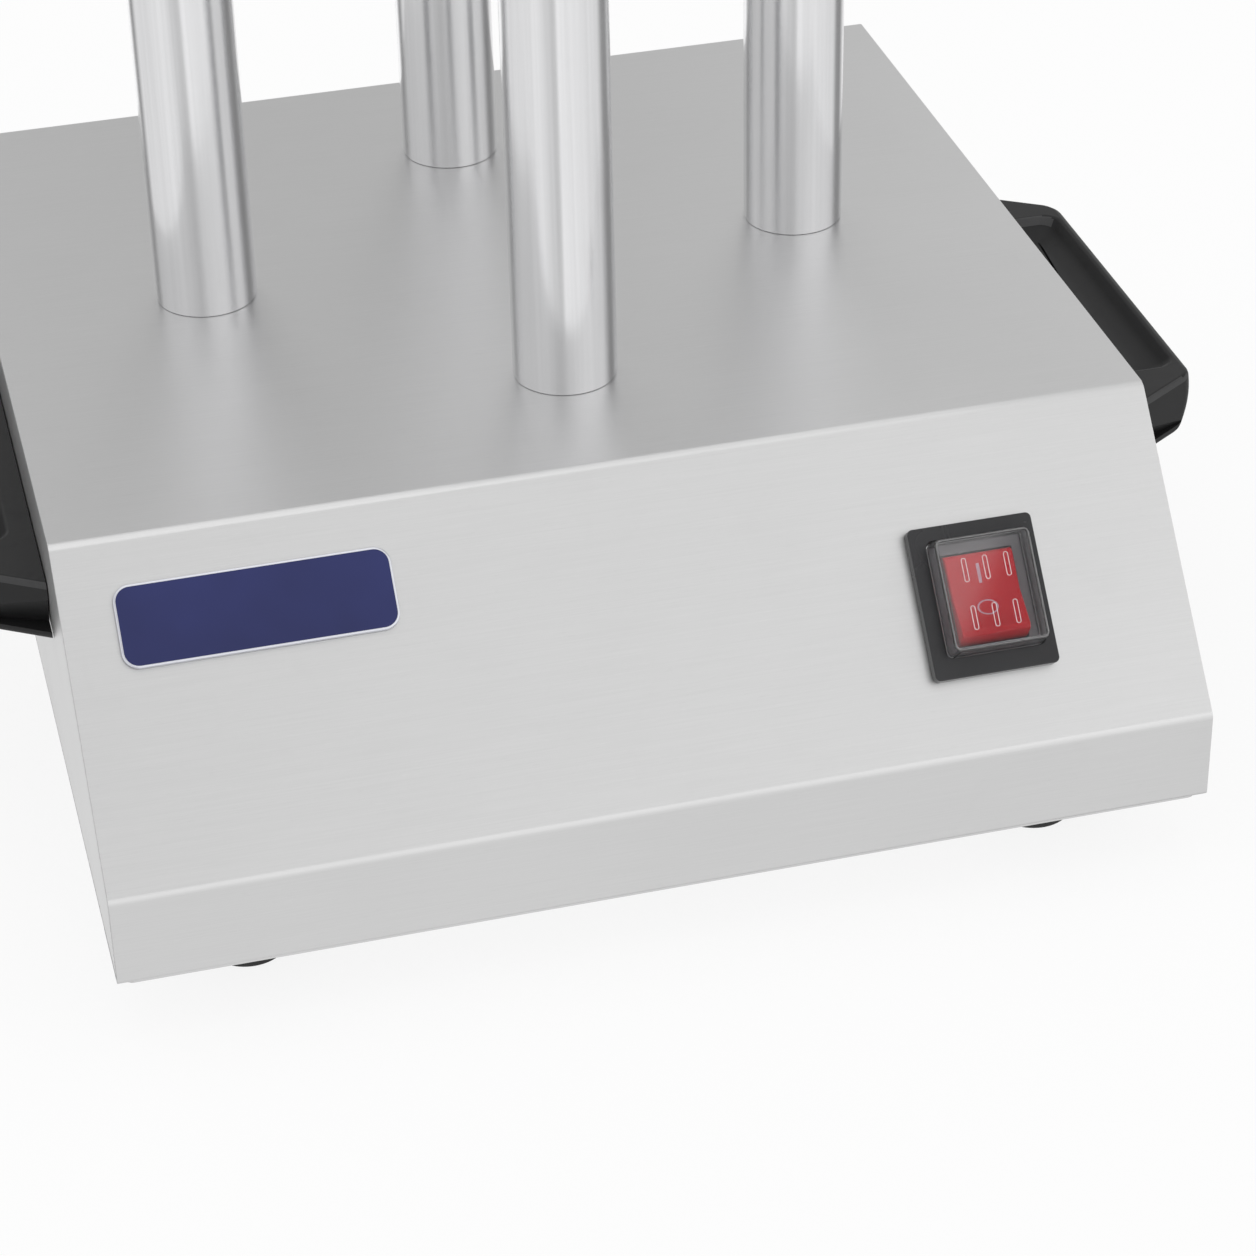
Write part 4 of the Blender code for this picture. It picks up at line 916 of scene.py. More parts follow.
@once("materials", "braided glass fibre")
def braided_sleeve(name, finishes):
    """Glass fibre braid: two crossing sets of threads."""
    material, tree, shader, place = start_material(name)
    threads = []
    for turn in ((0.6, 0.7, 0.8), (-0.6, -0.7, 0.8)):
        mapped = node(tree, "ShaderNodeMapping", {"Vector": place, "Rotation": turn})
        wave = node(tree, "ShaderNodeTexWave", {"Vector": mapped.outputs[0], "Scale": 420.0})
        threads.append(wave.outputs[1])
    braid = maths(tree, "MAXIMUM", threads[0], threads[1])
    tone = blend(tree, braid, tinted(finishes.sleeve, 0.70), tinted(finishes.sleeve, 1.10))
    paint(tree, shader, tone, spread(tree, braid, 0.0, 1.0, 0.92, 0.72))
    add_bump(tree, shader, braid, 0.6, BRAID_DEPTH)
    return material


@once("materials", "green and yellow sleeve")
def earth_sleeve(name, finishes):
    """Green sleeve with its yellow stripe."""
    material, tree, shader, place = start_material(name)
    wave = node(tree, "ShaderNodeTexWave", {"Vector": place, "Scale": 90.0, "Distortion": 0.5})
    stripe = spread(tree, wave.outputs[1], 0.62, 0.70, 0.0, 1.0)
    tone = blend(tree, stripe, (*finishes.earth, 1), (*finishes.earth_stripe, 1))
    mould = use_group(tree, moulded_grain(), {"Vector": place})
    paint(tree, shader, tone, spread(tree, mould.outputs["Flow"], 0, 1, 0.38, 0.48))
    add_bump(tree, shader, mould.outputs["Height"], 0.15)
    return material


# Pieces

class PieceOperator:
    bl_options = {"REGISTER", "UNDO"}


class SPIKEMACHINE_OT_folded_wrap(PieceOperator, bpy.types.Operator):
    """Folds the front strip, slope, top and back from one sheet and cuts its openings"""

    bl_idname = "spikemachine.folded_wrap"
    bl_label = "Folded sheet"
    SHARP = math.radians(60)

    def execute(self, context):
        machine = context.scene.spike_machine
        housing, switch, small = machine.housing, machine.switch, machine.small
        wrap = self.fold(housing)
        holes = []
        for name in SPIKE_NAMES:
            spot = middle_of(f"spike_{name}")
            hole = machine.spikes.neck + 2 * housing.gap
            low, high = TOP - housing.sheet - OVERRUN, TOP + OVERRUN
            holes.append(add_rod(f"neck_hole_{name}", hole, low, high, HOLE_SIDES, (spot.x, spot.y)))
        width = switch.body_width / 2 + housing.gap
        reach = switch.body_length / 2 + housing.gap
        window = add_block("window", (-width, -reach, -2 * OVERRUN), (width, reach, OVERRUN))
        place = slope_place(housing, middle_of("switch_body").x + switch.aside, switch.up_slope)
        holes.append(set_in_place(window, place))
        gland = middle_of("gland_body")
        bore = small.gland_thread + 2 * housing.gap
        cord_hole = add_rod("cord_hole", bore, -2 * OVERRUN, OVERRUN, HOLE_SIDES)
        place = move(gland.x, REAR, gland.z) @ Matrix.Rotation(-SQUARE, 4, "X")
        holes.append(set_in_place(cord_hole, place))
        for name in CORNER_NAMES:
            spot = middle_of(f"base_screw_{name}")
            sizes = (small.screw_hole, BOTTOM - OVERRUN, BOTTOM + 2 * OVERRUN, SMALL_HOLE_SIDES)
            holes.append(add_rod(f"flange_hole_{name}", *sizes, (spot.x, spot.y)))
        cut(wrap, *holes)
        steel = stainless(machine.finishes, "X")
        hand_over(wrap, "folded_sheet", steel, ["housing_wrap"])
        return {"FINISHED"}

    def fold(self, housing):
        deselect()
        middle = FRONT + housing.flange / 2
        bpy.ops.mesh.primitive_plane_add(size=1, location=(0, middle, BOTTOM))
        wrap = bpy.context.object
        wrap.scale = (2 * HALF_WIDTH, housing.flange, 1)
        apply_place()
        edit(wrap)
        pick("EDGE", ends_at(y=FRONT))
        extrude((0, 0, housing.strip))
        extrude((0, housing.run, housing.rise))
        extrude((0, REAR - FRONT - housing.run, 0))
        extrude((0, 0, BOTTOM - TOP))
        extrude((0, -housing.flange, 0))
        recalculate()
        slope = slope_angle(housing)
        folds = (
            (FRONT, BOTTOM, housing.bottom_fold, SQUARE),
            (FRONT, BOTTOM + housing.strip, housing.fold, SQUARE - slope),
            (FRONT + housing.run, TOP, housing.fold, slope),
            (REAR, TOP, housing.fold, SQUARE),
            (REAR, BOTTOM, housing.bottom_fold, SQUARE),
        )
        fold_corners(folds, housing.steps)
        shape = bmesh.from_edit_mesh(wrap.data)
        highest = max(shape.faces, key=lambda face: face.calc_center_median().z)
        if highest.normal.z < 0:
            bpy.ops.mesh.select_all(action="SELECT")
            bpy.ops.mesh.flip_normals()
        leave_edit()
        apply_modifier(wrap, "SOLIDIFY", thickness=housing.sheet, offset=-1.0, use_even_offset=True)
        limits = {"limit_method": "ANGLE", "angle_limit": self.SHARP}
        return apply_modifier(wrap, "BEVEL", width=housing.edge, segments=2, **limits)


class SPIKEMACHINE_OT_side_panels(PieceOperator, bpy.types.Operator):
    """Presses the two flanged side panels that close the folded sheet's ends"""

    bl_idname = "spikemachine.side_panels"
    bl_label = "Side panels"
    EDGE_SHARE = 0.35

    def execute(self, context):
        machine = context.scene.spike_machine
        housing = machine.housing
        inset = housing.sheet + housing.gap
        slope = slope_angle(housing)
        low_corner = BOTTOM + housing.strip - inset * (1 - math.sin(slope)) / math.cos(slope)
        high_corner = FRONT + housing.run + inset * (1 - math.cos(slope)) / math.sin(slope)
        front, rear, bottom, top = FRONT + inset, REAR - inset, BOTTOM + inset, TOP - inset
        inner = HALF_WIDTH - housing.side_flange
        panel = add_block("panel", (inner, front, bottom), (HALF_WIDTH, rear, top))
        edit(panel)
        bpy.ops.mesh.select_all(action="SELECT")
        bpy.ops.mesh.bisect(plane_co=(0, 0, low_corner), plane_no=(0, 0, 1))
        pick("EDGE", ends_at(y=front, z=top))
        shift((0, high_corner - front, 0))
        soft = housing.fold - inset
        tight = housing.bottom_fold - inset
        corners = (
            (front, bottom, tight, SQUARE),
            (front, low_corner, soft, SQUARE - slope),
            (high_corner, top, soft, slope),
            (rear, top, soft, SQUARE),
            (rear, bottom, tight, SQUARE),
        )
        fold_corners(corners, housing.steps)
        pick("FACE", ends_at(x=inner))
        bpy.ops.mesh.inset(thickness=housing.sheet, depth=0, use_boundary=True)
        extrude((housing.side_flange - housing.sheet, 0, 0))
        pick("FACE", ends_at(x=HALF_WIDTH))
        bpy.ops.mesh.region_to_loop()
        bevel(housing.sheet * self.EDGE_SHARE, 3)
        leave_edit()
        for end in ("front", "rear"):
            spot = middle_of(f"handle_screw_right_{end}")
            hole = add_rod("hole", machine.small.screw_hole, -2 * OVERRUN, OVERRUN, SMALL_HOLE_SIDES)
            place = move(HALF_WIDTH, spot.y, spot.z) @ Matrix.Rotation(SQUARE, 4, "Y")
            cut(panel, set_in_place(hole, place))
        steel = stainless(machine.finishes, "Y")
        hand_over_copies(panel, mirrored(), "pressed_side", steel, "side_panel")
        return {"FINISHED"}


class SPIKEMACHINE_OT_spikes(PieceOperator, bpy.types.Operator):
    """Turns one heated spike with its neck, bore and rounded tip, and copies it to the four places"""

    bl_idname = "spikemachine.spikes"
    bl_label = "Spikes"
    FOOT_SHARE = 0.85
    TIP_STEPS = 14
    THREAD_TURNS = 8
    CREST_SHARES = (0.45, 0.60)

    def execute(self, context):
        machine = context.scene.spike_machine
        sizes = machine.spikes
        radius, neck, bore = sizes.diameter / 2, sizes.neck / 2, sizes.bore / 2
        bottom = -machine.housing.gap - sizes.neck_length
        shoulder = sizes.height - sizes.tip
        profile = [(0, bottom + sizes.bore_length), (bore, bottom + sizes.bore_length), (bore, bottom)]
        foot = -self.FOOT_SHARE * machine.housing.gap
        profile += thread_rings(neck, bottom, foot, self.THREAD_TURNS, self.CREST_SHARES)
        profile += [(radius - sizes.chamfer, foot)]
        profile += arc((radius - sizes.chamfer, foot + sizes.chamfer), sizes.chamfer, -60, 0, 2)
        profile += [(radius, shoulder * part) for part in (0.25, 0.5, 0.75)]
        for step in range(self.TIP_STEPS):
            turn = SQUARE * step / self.TIP_STEPS
            profile.append((radius * math.cos(turn), shoulder + sizes.tip * math.sin(turn)))
        profile.append((0, sizes.height))
        spike = turn_profile("spike", profile, sizes.steps)
        metal = satin_spike(machine.finishes)
        places = {}
        for name in SPIKE_NAMES:
            low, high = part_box(f"spike_{name}")
            centre = (low + high) / 2
            places[name] = move(centre.x, centre.y, high.z - sizes.height)
        hand_over_copies(spike, places, "satin_spike", metal, "spike")
        return {"FINISHED"}


class SPIKEMACHINE_OT_handles(PieceOperator, bpy.types.Operator):
    """Moulds one side handle with its scoop, finger hollow and wedge recesses, and mirrors it"""

    bl_idname = "spikemachine.handles"
    bl_label = "Side handles"
    LEVELS = 9
    FLOOR_SHARE = 0.75
    GRIP_EDGE = 0.0015
    RIM_EDGE = 0.0006
    RIM_TURN = math.radians(20)
    # Faces that take the paler material: a painted highlight on the rounded edges across the top
    RUBBED_LEAST, RUBBED_MOST, RUBBED_ACROSS = 0.15, 0.97, 0.40

    def execute(self, context):
        machine = context.scene.spike_machine
        sizes = machine.handles
        handle = self.outer_form(machine.finishes, sizes)
        cut(handle, self.scoop(sizes), self.grip(sizes))
        cut(handle, self.wedge(sizes, -1), self.wedge(sizes, 1))
        low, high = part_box("handle_right")
        wall = move(low.x, (low.y + high.y) / 2, low.z)
        self.soften(handle, sizes)
        set_in_place(handle, wall)
        for end in ("front", "rear"):
            spot = middle_of(f"handle_screw_right_{end}")
            bore = add_rod("bore", sizes.bore, -OVERRUN, sizes.bore_depth, SMALL_HOLE_SIDES)
            place = move(low.x, spot.y, spot.z) @ Matrix.Rotation(SQUARE, 4, "Y")
            cut(handle, set_in_place(bore, place))
        hand_over_copies(handle, mirrored(), "moulded_handle", None, "handle")
        return {"FINISHED"}

    def reach_at(self, sizes, height):
        """How far the bowed outer face stands out at a height."""
        widest = sizes.height * sizes.widest
        if height > widest:
            return sizes.reach - sizes.top_drop * ((height - widest) / (sizes.height - widest)) ** 2
        return sizes.reach - sizes.foot_drop * ((widest - height) / widest) ** 2

    def outer_form(self, finishes, sizes):
        """A block with slanted ends, rounded outer corners and a bowed outer face."""
        half = sizes.length / 2
        handle = add_block("handle", (0, -half, 0), (sizes.reach, half, sizes.height))
        # The second, paler material paints a highlight on the rounded edges across the top
        for name, base in (("handle black", finishes.black), ("handle edge", finishes.edge)):
            plastic = moulded_plastic(name, base, rough=0.46, grain=2400.0, bump=0.20, shine=0.25)
            handle.data.materials.append(plastic)
        inward = sizes.reach * math.tan(sizes.slant)
        edit(handle)
        for sign in (-1, 1):
            pick("EDGE", ends_at(x=sizes.reach, y=sign * half))
            shift((0, -sign * inward, 0))
        pick("EDGE", lambda edge: upright(edge) and edge.verts[0].co.x > NEAR)
        bevel(tangent(sizes.corner, SQUARE - sizes.slant), 10)
        levels = [sizes.height * step / self.LEVELS for step in range(self.LEVELS + 1)]
        for height in levels[1:-1]:
            bpy.ops.mesh.select_all(action="SELECT")
            bpy.ops.mesh.bisect(plane_co=(0, 0, height), plane_no=(0, 0, 1))
        for height in levels:
            back = sizes.reach - self.reach_at(sizes, height)
            for sign in (-1, 1):
                def at_level(corner, height=height, sign=sign):
                    spot = corner.co
                    return near(spot.z, height) and spot.x > NEAR and spot.y * sign > 0
                pick("VERT", at_level)
                shift((-back, sign * back * math.tan(sizes.slant), 0))
        for height in (0, sizes.height):
            def rim(edge, height=height):
                first, last = (corner.co for corner in edge.verts)
                wall = near(first.x, 0) and near(last.x, 0)
                return near(first.z, height) and near(last.z, height) and not wall
            round_off(rim, sizes.edge, 4)
        finish_edit()
        return handle

    def scoop(self, sizes):
        """The dished hollow's cutter: narrower at its floor, with a wide soft floor edge."""
        reach = self.reach_at(sizes, sizes.height) - sizes.scoop_rim
        floor = sizes.height - sizes.scoop_depth
        half = sizes.scoop_length / 2
        low, high = (sizes.scoop_wall, -half, floor), (reach, half, sizes.height + OVERRUN)
        cutter = rounded_block("scoop", low, high, sizes.scoop_corner, 8)
        edit(cutter)
        pick("EDGE", upright)
        bpy.ops.mesh.subdivide(number_cuts=1)
        pick("VERT", lambda corner: floor + NEAR < corner.co.z < high[2] - NEAR)
        shift((0, 0, sizes.height - (floor + high[2]) / 2))
        pick("VERT", lambda corner: near(corner.co.z, floor))
        width = reach - sizes.scoop_wall
        narrow((sizes.scoop_wall + width / 2, 0, floor), width, sizes.scoop_length, sizes.scoop_draft)
        round_off(ends_at(z=floor), sizes.scoop_depth * self.FLOOR_SHARE, 8)
        finish_edit()
        return cutter

    def grip(self, sizes):
        """The finger hollow's cutter."""
        reach = sizes.reach - sizes.foot_drop - sizes.grip_wall
        half = sizes.grip_length / 2
        low, high = (sizes.grip_wall_side, -half, -OVERRUN), (reach, half, sizes.grip_depth)
        return rounded_block("grip", low, high, sizes.grip_corner, 8, self.GRIP_EDGE, 4)

    def wedge(self, sizes, end):
        """The cutter for the recess over one end's lip: it is tallest and deepest at the panel."""
        outer = sizes.reach / math.cos(sizes.slant) - sizes.wedge_corner
        low, high = sizes.lip, sizes.wedge_wall
        sides = sorted((0, end * OVERRUN))
        wedge = add_block("wedge", (-OVERRUN, sides[0], low), (outer, sides[1], high))
        edit(wedge)
        backs = (
            (-OVERRUN, low, sizes.wedge_depth, 0),
            (-OVERRUN, high, sizes.wedge_step, 0),
            (outer, low, sizes.wedge_shallow, 0),
            (outer, high, sizes.wedge_shallow / 2, low + sizes.wedge_shallow - high),
        )
        for x, z, depth, drop in backs:
            pick("VERT", ends_at_corner(x, 0, z))
            shift((0, -end * depth, 0))
            if drop:
                pick("VERT", lambda corner: near(corner.co.x, outer) and near(corner.co.z, high))
                shift((0, 0, drop))
        finish_edit()
        place = move(0, end * sizes.length / 2, 0) @ Matrix.Rotation(-end * sizes.slant, 4, "Z")
        return set_in_place(wedge, place)

    def soften(self, handle, sizes):
        """Rounds the scoop's rim, which stands in the flat top."""
        edit(handle)
        reach = self.reach_at(sizes, sizes.height) - sizes.scoop_rim
        half = sizes.scoop_length / 2

        def rim(edge):
            if not ends_at(z=sizes.height)(edge) or len(edge.link_faces) != 2:
                return False
            turn = edge.link_faces[0].normal.angle(edge.link_faces[1].normal)
            inside = all(
                sizes.scoop_wall - NEAR < corner.co.x < reach + NEAR and abs(corner.co.y) < half + NEAR
                for corner in edge.verts
            )
            return inside and turn > self.RIM_TURN

        round_off(rim, self.RIM_EDGE, 3)
        recalculate()
        self.polish_edges(handle, sizes)
        leave_edit()

    def polish_edges(self, handle, sizes):
        """Gives the rounded edges across the top a paler material: a painted highlight where they catch the
        light.
        """
        def across_top(face):
            high = face.calc_center_median().z > sizes.height - sizes.edge
            leaning = self.RUBBED_LEAST < face.normal.z < self.RUBBED_MOST
            return high and leaning and abs(face.normal.y) > self.RUBBED_ACROSS

        pick("FACE", across_top)
        use_second_material(handle)


class SPIKEMACHINE_OT_switch_frame(PieceOperator, bpy.types.Operator):
    """Moulds the switch's black frame and body, with the cap's seat and the rocker's well"""

    bl_idname = "spikemachine.switch_frame"
    bl_label = "Switch frame"
    BLOCK_CORNER = 0.0006
    WELL_CORNER = 0.0003
    PIN_PLAY = 0.0002
    HAZE_EDGE = 0.0006
    SMOOTH = math.radians(18)

    def execute(self, context):
        machine = context.scene.spike_machine
        sizes, gap = machine.switch, machine.housing.gap
        top = gap + sizes.frame_height
        left, right = (side * sizes.frame_width / 2 - sizes.aside for side in (-1, 1))
        reach = sizes.frame_length / 2
        body = rounded_block(
            "body", (left, -reach, gap), (right, reach, top), sizes.frame_corner, 8, sizes.frame_edge, 3
        )
        width, reach = sizes.body_width / 2, sizes.body_length / 2
        high = gap + sizes.frame_height / 2
        low = (-width, -reach, -sizes.body_depth)
        join(body, rounded_block("block", low, (width, reach, high), self.BLOCK_CORNER, 3))
        width, reach = sizes.cap_width / 2 + gap, sizes.cap_length / 2 + gap
        high = top + OVERRUN
        low = (-width, sizes.cap_up - reach, top - sizes.seat_depth)
        corner = sizes.cap_corner + gap
        seat = rounded_block("seat", low, (width, sizes.cap_up + reach, high), corner, 6)
        width, reach = sizes.rocker_width / 2 + gap, sizes.rocker_radius + gap
        low = (-width, -reach, -sizes.well_depth)
        well = rounded_block("well", low, (width, reach, high), self.WELL_CORNER, 2)
        pin_reach = sizes.rocker_width / 2 + sizes.pin_length + self.PIN_PLAY
        pin = sizes.pin + 2 * self.PIN_PLAY
        pins = add_rod("pins", pin, -pin_reach, pin_reach, SMALL_HOLE_SIDES)
        set_in_place(pins, move(0, 0, -sizes.pivot_level) @ Matrix.Rotation(SQUARE, 4, "Y"))
        cut(body, seat, well, pins)
        x = middle_of("switch_body").x + sizes.aside
        set_in_place(body, slope_place(machine.housing, x, sizes.up_slope))
        plastic = moulded_plastic(
            "switch black", machine.finishes.frame, rough=0.25, grain=3000.0, bump=0.08, paler=1.4, shine=0.4
        )
        # Paints the cap's scattered light as a pale veil on the plastic under the cap
        self.haze(machine, plastic, x)
        nodes = ["switch_body"]
        hand_over(body, "switch_frame_and_body", plastic, nodes, smooth=self.SMOOTH)
        return {"FINISHED"}

    def haze(self, machine, plastic, x):
        """Paints a pale veil on the plastic that lies under the cap: painted light, standing in for the
        light that the milky cap scatters over it.
        """
        sizes, tree = machine.switch, plastic.node_tree
        colour_input = tree.nodes["Principled BSDF"].inputs["Base Color"]
        tone = colour_input.links[0].from_socket
        inward = slope_place(machine.housing, x, sizes.up_slope + sizes.cap_up).inverted()
        place = node(tree, "ShaderNodeTexCoord").outputs["Object"]
        ways = {"Vector": place, "Location": inward.to_translation(), "Rotation": inward.to_euler()}
        spot = node(tree, "ShaderNodeSeparateXYZ", {0: node(tree, "ShaderNodeMapping", ways).outputs[0]})
        width = sizes.cap_width / 2 - sizes.cap_wall
        reach = sizes.cap_length / 2 - sizes.cap_wall
        across = window(tree, spot.outputs["X"], -width, width, self.HAZE_EDGE)
        along_slope = window(tree, spot.outputs["Y"], -reach, reach, self.HAZE_EDGE)
        under = times(tree, across, along_slope)
        tree.links.new(blend(tree, under, tone, (*machine.finishes.haze, 1)), colour_input)


class SPIKEMACHINE_OT_rocker(PieceOperator, bpy.types.Operator):
    """Shapes the red rocker with its pins and its two pale marks, which tilt with it"""

    bl_idname = "spikemachine.rocker"
    bl_label = "Rocker"
    INNER_REACH = 0.001
    MARK_PROUD = 0.00006
    BAR_WIDTH, BAR_LENGTH, BAR_CORNER = 0.0008, 0.0048, 0.0002
    BAR_SPOT = (-0.0008, 0.0050)
    RING_OUTER, RING_INNER, RING_SQUASH = 0.0026, 0.0022, 0.77
    RING_SPOT = (-0.0006, -0.0037)
    RING_SIDES = 48

    def execute(self, context):
        machine = context.scene.spike_machine
        sizes = machine.switch
        half = sizes.rocker_width / 2
        corners = [(-half, along, out) for along, out in self.outline(sizes)]
        rocker = prism("rocker", corners, (2 * half, 0, 0))
        edit(rocker)
        pick("EDGE", lambda edge: self.outer_edge(edge, half))
        bevel(sizes.rocker_edge, 4)
        finish_edit()
        reach = half + sizes.pin_length
        pins = add_rod("pins", sizes.pin, -reach, reach, SMALL_HOLE_SIDES)
        join(rocker, set_in_place(pins, Matrix.Rotation(SQUARE, 4, "Y")))
        x = middle_of("switch_rocker").x
        pivot = slope_place(machine.housing, x, sizes.up_slope, -sizes.pivot_level)
        place = pivot @ Matrix.Rotation(-sizes.travel / 2, 4, "X")
        set_in_place(rocker, place)
        hand_over(
            rocker, "red_rocker", rocker_red(machine.finishes), ["switch_rocker"], ROCKER
        )
        self.marks(machine, place)
        return {"FINISHED"}

    def outline(self, sizes):
        """The level rocker from its side, as (along, out) points about its pivot."""
        half_travel = sizes.travel / 2
        valley = sizes.rocker_face / math.cos(half_travel)
        radius, slant = sizes.rocker_radius, math.tan(half_travel)
        end_out = (valley + radius * slant) * math.cos(half_travel) ** 2
        crest = radius - end_out * slant - sizes.rocker_shoulder
        shoulder = end_out - sizes.rocker_shoulder
        foot = math.sqrt(radius ** 2 - sizes.rocker_foot ** 2)
        right = [
            (crest, valley + crest * slant),
            (radius - shoulder * slant, shoulder),
            (radius, 0),
            (foot, -sizes.rocker_foot),
        ]
        return [(0, valley), *right, *((-along, out) for along, out in right[::-1])]

    def outer_edge(self, edge, half):
        """The edges round the two faces and down the sides, not the shallow valley."""
        first, last = (corner.co for corner in edge.verts)
        across = not near(first.x, last.x)
        if across:
            return first.z > self.INNER_REACH and abs(first.y) > self.INNER_REACH
        return min(first.z, last.z) > self.INNER_REACH

    def marks(self, machine, place):
        """A bar on the upper face and a flattened ring on the lower one, set just proud of them."""
        sizes = machine.switch
        half_travel = sizes.travel / 2
        valley = sizes.rocker_face / math.cos(half_travel)
        proud = self.MARK_PROUD
        white = moulded_plastic(
            "switch mark white", machine.finishes.mark, rough=0.4, grain=2000.0, bump=0.1, paler=1.1
        )
        width, reach = self.BAR_WIDTH / 2, self.BAR_LENGTH / 2
        bar = rounded_block("bar", (-width, -reach, -proud), (width, reach, proud), self.BAR_CORNER, 2)
        outer, inner = self.RING_OUTER, self.RING_INNER
        profile = [(inner, -proud), (outer, -proud), (outer, proud), (inner, proud), (inner, -proud)]
        ring = turn_profile("ring", profile, self.RING_SIDES)
        set_in_place(ring, Matrix.Diagonal((1, self.RING_SQUASH, 1, 1)))
        marks = ((bar, "on_mark", *self.BAR_SPOT), (ring, "off_mark", *self.RING_SPOT))
        for piece, name, aside, up in marks:
            turn = half_travel if up > 0 else -half_travel
            face = move(aside, 0, valley) @ Matrix.Rotation(turn, 4, "X") @ move(0, up, 0)
            set_in_place(piece, place @ face)
            hand_over(piece, f"rocker_{name}", white, [], ROCKER)


class SPIKEMACHINE_OT_splash_cap(PieceOperator, bpy.types.Operator):
    """Forms the clear tapered cap over the rocker, with six moulded ribs on its front"""

    bl_idname = "spikemachine.splash_cap"
    bl_label = "Splash cap"
    FRONT_EDGE = 0.0008
    # Rim faces that take the less clear material: a painted highlight along the cap's front edges
    RUBBED_LEAST, RUBBED_MOST, RUBBED_CLEAR = 0.70, 0.92, 0.80
    STADIUM_SHARE = 0.98

    def execute(self, context):
        machine = context.scene.spike_machine
        sizes, gap = machine.switch, machine.housing.gap
        low = 2 * gap + sizes.frame_height - sizes.seat_depth
        high = sizes.cap_level
        width, reach = sizes.cap_width / 2, sizes.cap_length / 2
        cap = add_block("cap", (-width, -reach, low), (width, reach, high))
        edit(cap)
        for side in (-1, 1):
            pick("EDGE", ends_at(x=side * width, z=high))
            shift((side * (sizes.cap_front_width / 2 - width), 0, 0))
            pick("EDGE", ends_at(y=side * reach, z=high))
            shift((0, side * (sizes.cap_front_length / 2 - reach), 0))
        pick("EDGE", lambda edge: not near(edge.verts[0].co.z, edge.verts[1].co.z))
        bevel(sizes.cap_corner, 8)
        round_off(ends_at(z=high), self.FRONT_EDGE, 4)
        pick("FACE", ends_at(z=low))
        bpy.ops.mesh.delete(type="FACE")
        recalculate()
        cap.data.materials.append(clear_cap(machine.finishes))
        # The second material lets less light through, so the rim reads paler: a painted highlight along the
        # cap's front edges
        cap.data.materials.append(clear_cap(machine.finishes, "rubbed cap edge", self.RUBBED_CLEAR))
        pick("FACE", lambda face: self.RUBBED_LEAST < face.normal.z < self.RUBBED_MOST)
        use_second_material(cap)
        leave_edit()
        apply_modifier(cap, "SOLIDIFY", thickness=sizes.cap_wall, offset=-1.0, use_even_offset=True)
        ribs = []
        for up in (sizes.rib_upper, -sizes.rib_lower):
            for column in (-1, 0, 1):
                aside = column * sizes.rib_pitch - sizes.rib_aside
                ribs.append(self.rib(sizes, aside, up, high, cap_rib(machine.finishes)))
        work_on(cap)
        for rib in ribs:
            rib.select_set(True)
        bpy.ops.object.join()
        x = middle_of("switch_cover").x
        set_in_place(cap, slope_place(machine.housing, x, sizes.up_slope + sizes.cap_up))
        hand_over(cap, "clear_splash_cap", None, ["switch_cover"])
        return {"FINISHED"}

    def rib(self, sizes, aside, up, level, material):
        """A thin raised line in the outline of a stadium."""
        width, reach = sizes.rib_width / 2, sizes.rib_length / 2
        low = (aside - width, up - reach, level - sizes.rib_height / 2)
        high = (aside + width, up + reach, level + sizes.rib_height)
        rib = rounded_block("rib", low, high, width * self.STADIUM_SHARE, 6)
        edit(rib)
        for height in (high[2], low[2]):
            pick("FACE", ends_at(z=height))
            bpy.ops.mesh.inset(thickness=sizes.rib_line, depth=0)

        def inner(face):
            return ends_at(z=high[2])(face) or ends_at(z=low[2])(face)

        def core(face):
            middle = face.calc_center_median()
            level_face = inner(face) and near(middle.x, aside) and near(middle.y, up)
            return level_face and face.calc_area() > 0.5 * width * reach

        pick("FACE", core)
        bpy.ops.mesh.bridge_edge_loops()
        finish_edit()
        rib.data.materials.append(material)
        return rib


class SPIKEMACHINE_OT_badge(PieceOperator, bpy.types.Operator):
    """Makes the bare badge: navy enamel inside a thin pale rim"""

    bl_idname = "spikemachine.badge"
    bl_label = "Bare badge"
    EDGE = 0.00035
    ENAMEL_INSET, ENAMEL_DROP = 0.00012, 0.00008

    def execute(self, context):
        machine = context.scene.spike_machine
        sizes, gap = machine.small, machine.housing.gap
        width, reach = sizes.badge_width / 2, sizes.badge_height / 2
        top = gap + sizes.badge_depth
        low, high = (-width, -reach, gap), (width, reach, top)
        badge = rounded_block("badge", low, high, sizes.badge_corner, 10, self.EDGE, 3)
        rim = brushed_metal(
            "pale badge rim", machine.finishes.rim, (500, 2000, 2000), (60, 900, 900), rough=0.28
        )
        badge.data.materials.append(rim)
        badge.data.materials.append(badge_enamel(machine.finishes))
        edit(badge)
        pick("FACE", ends_at(z=top))
        bpy.ops.mesh.inset(thickness=sizes.badge_rim, depth=0)
        use_second_material(badge)
        bpy.ops.mesh.inset(thickness=self.ENAMEL_INSET, depth=-self.ENAMEL_DROP)
        finish_edit()
        x = middle_of("badge_plate").x
        set_in_place(badge, slope_place(machine.housing, x, sizes.badge_up))
        hand_over(badge, "bare_badge", None, ["badge_plate"])
        return {"FINISHED"}


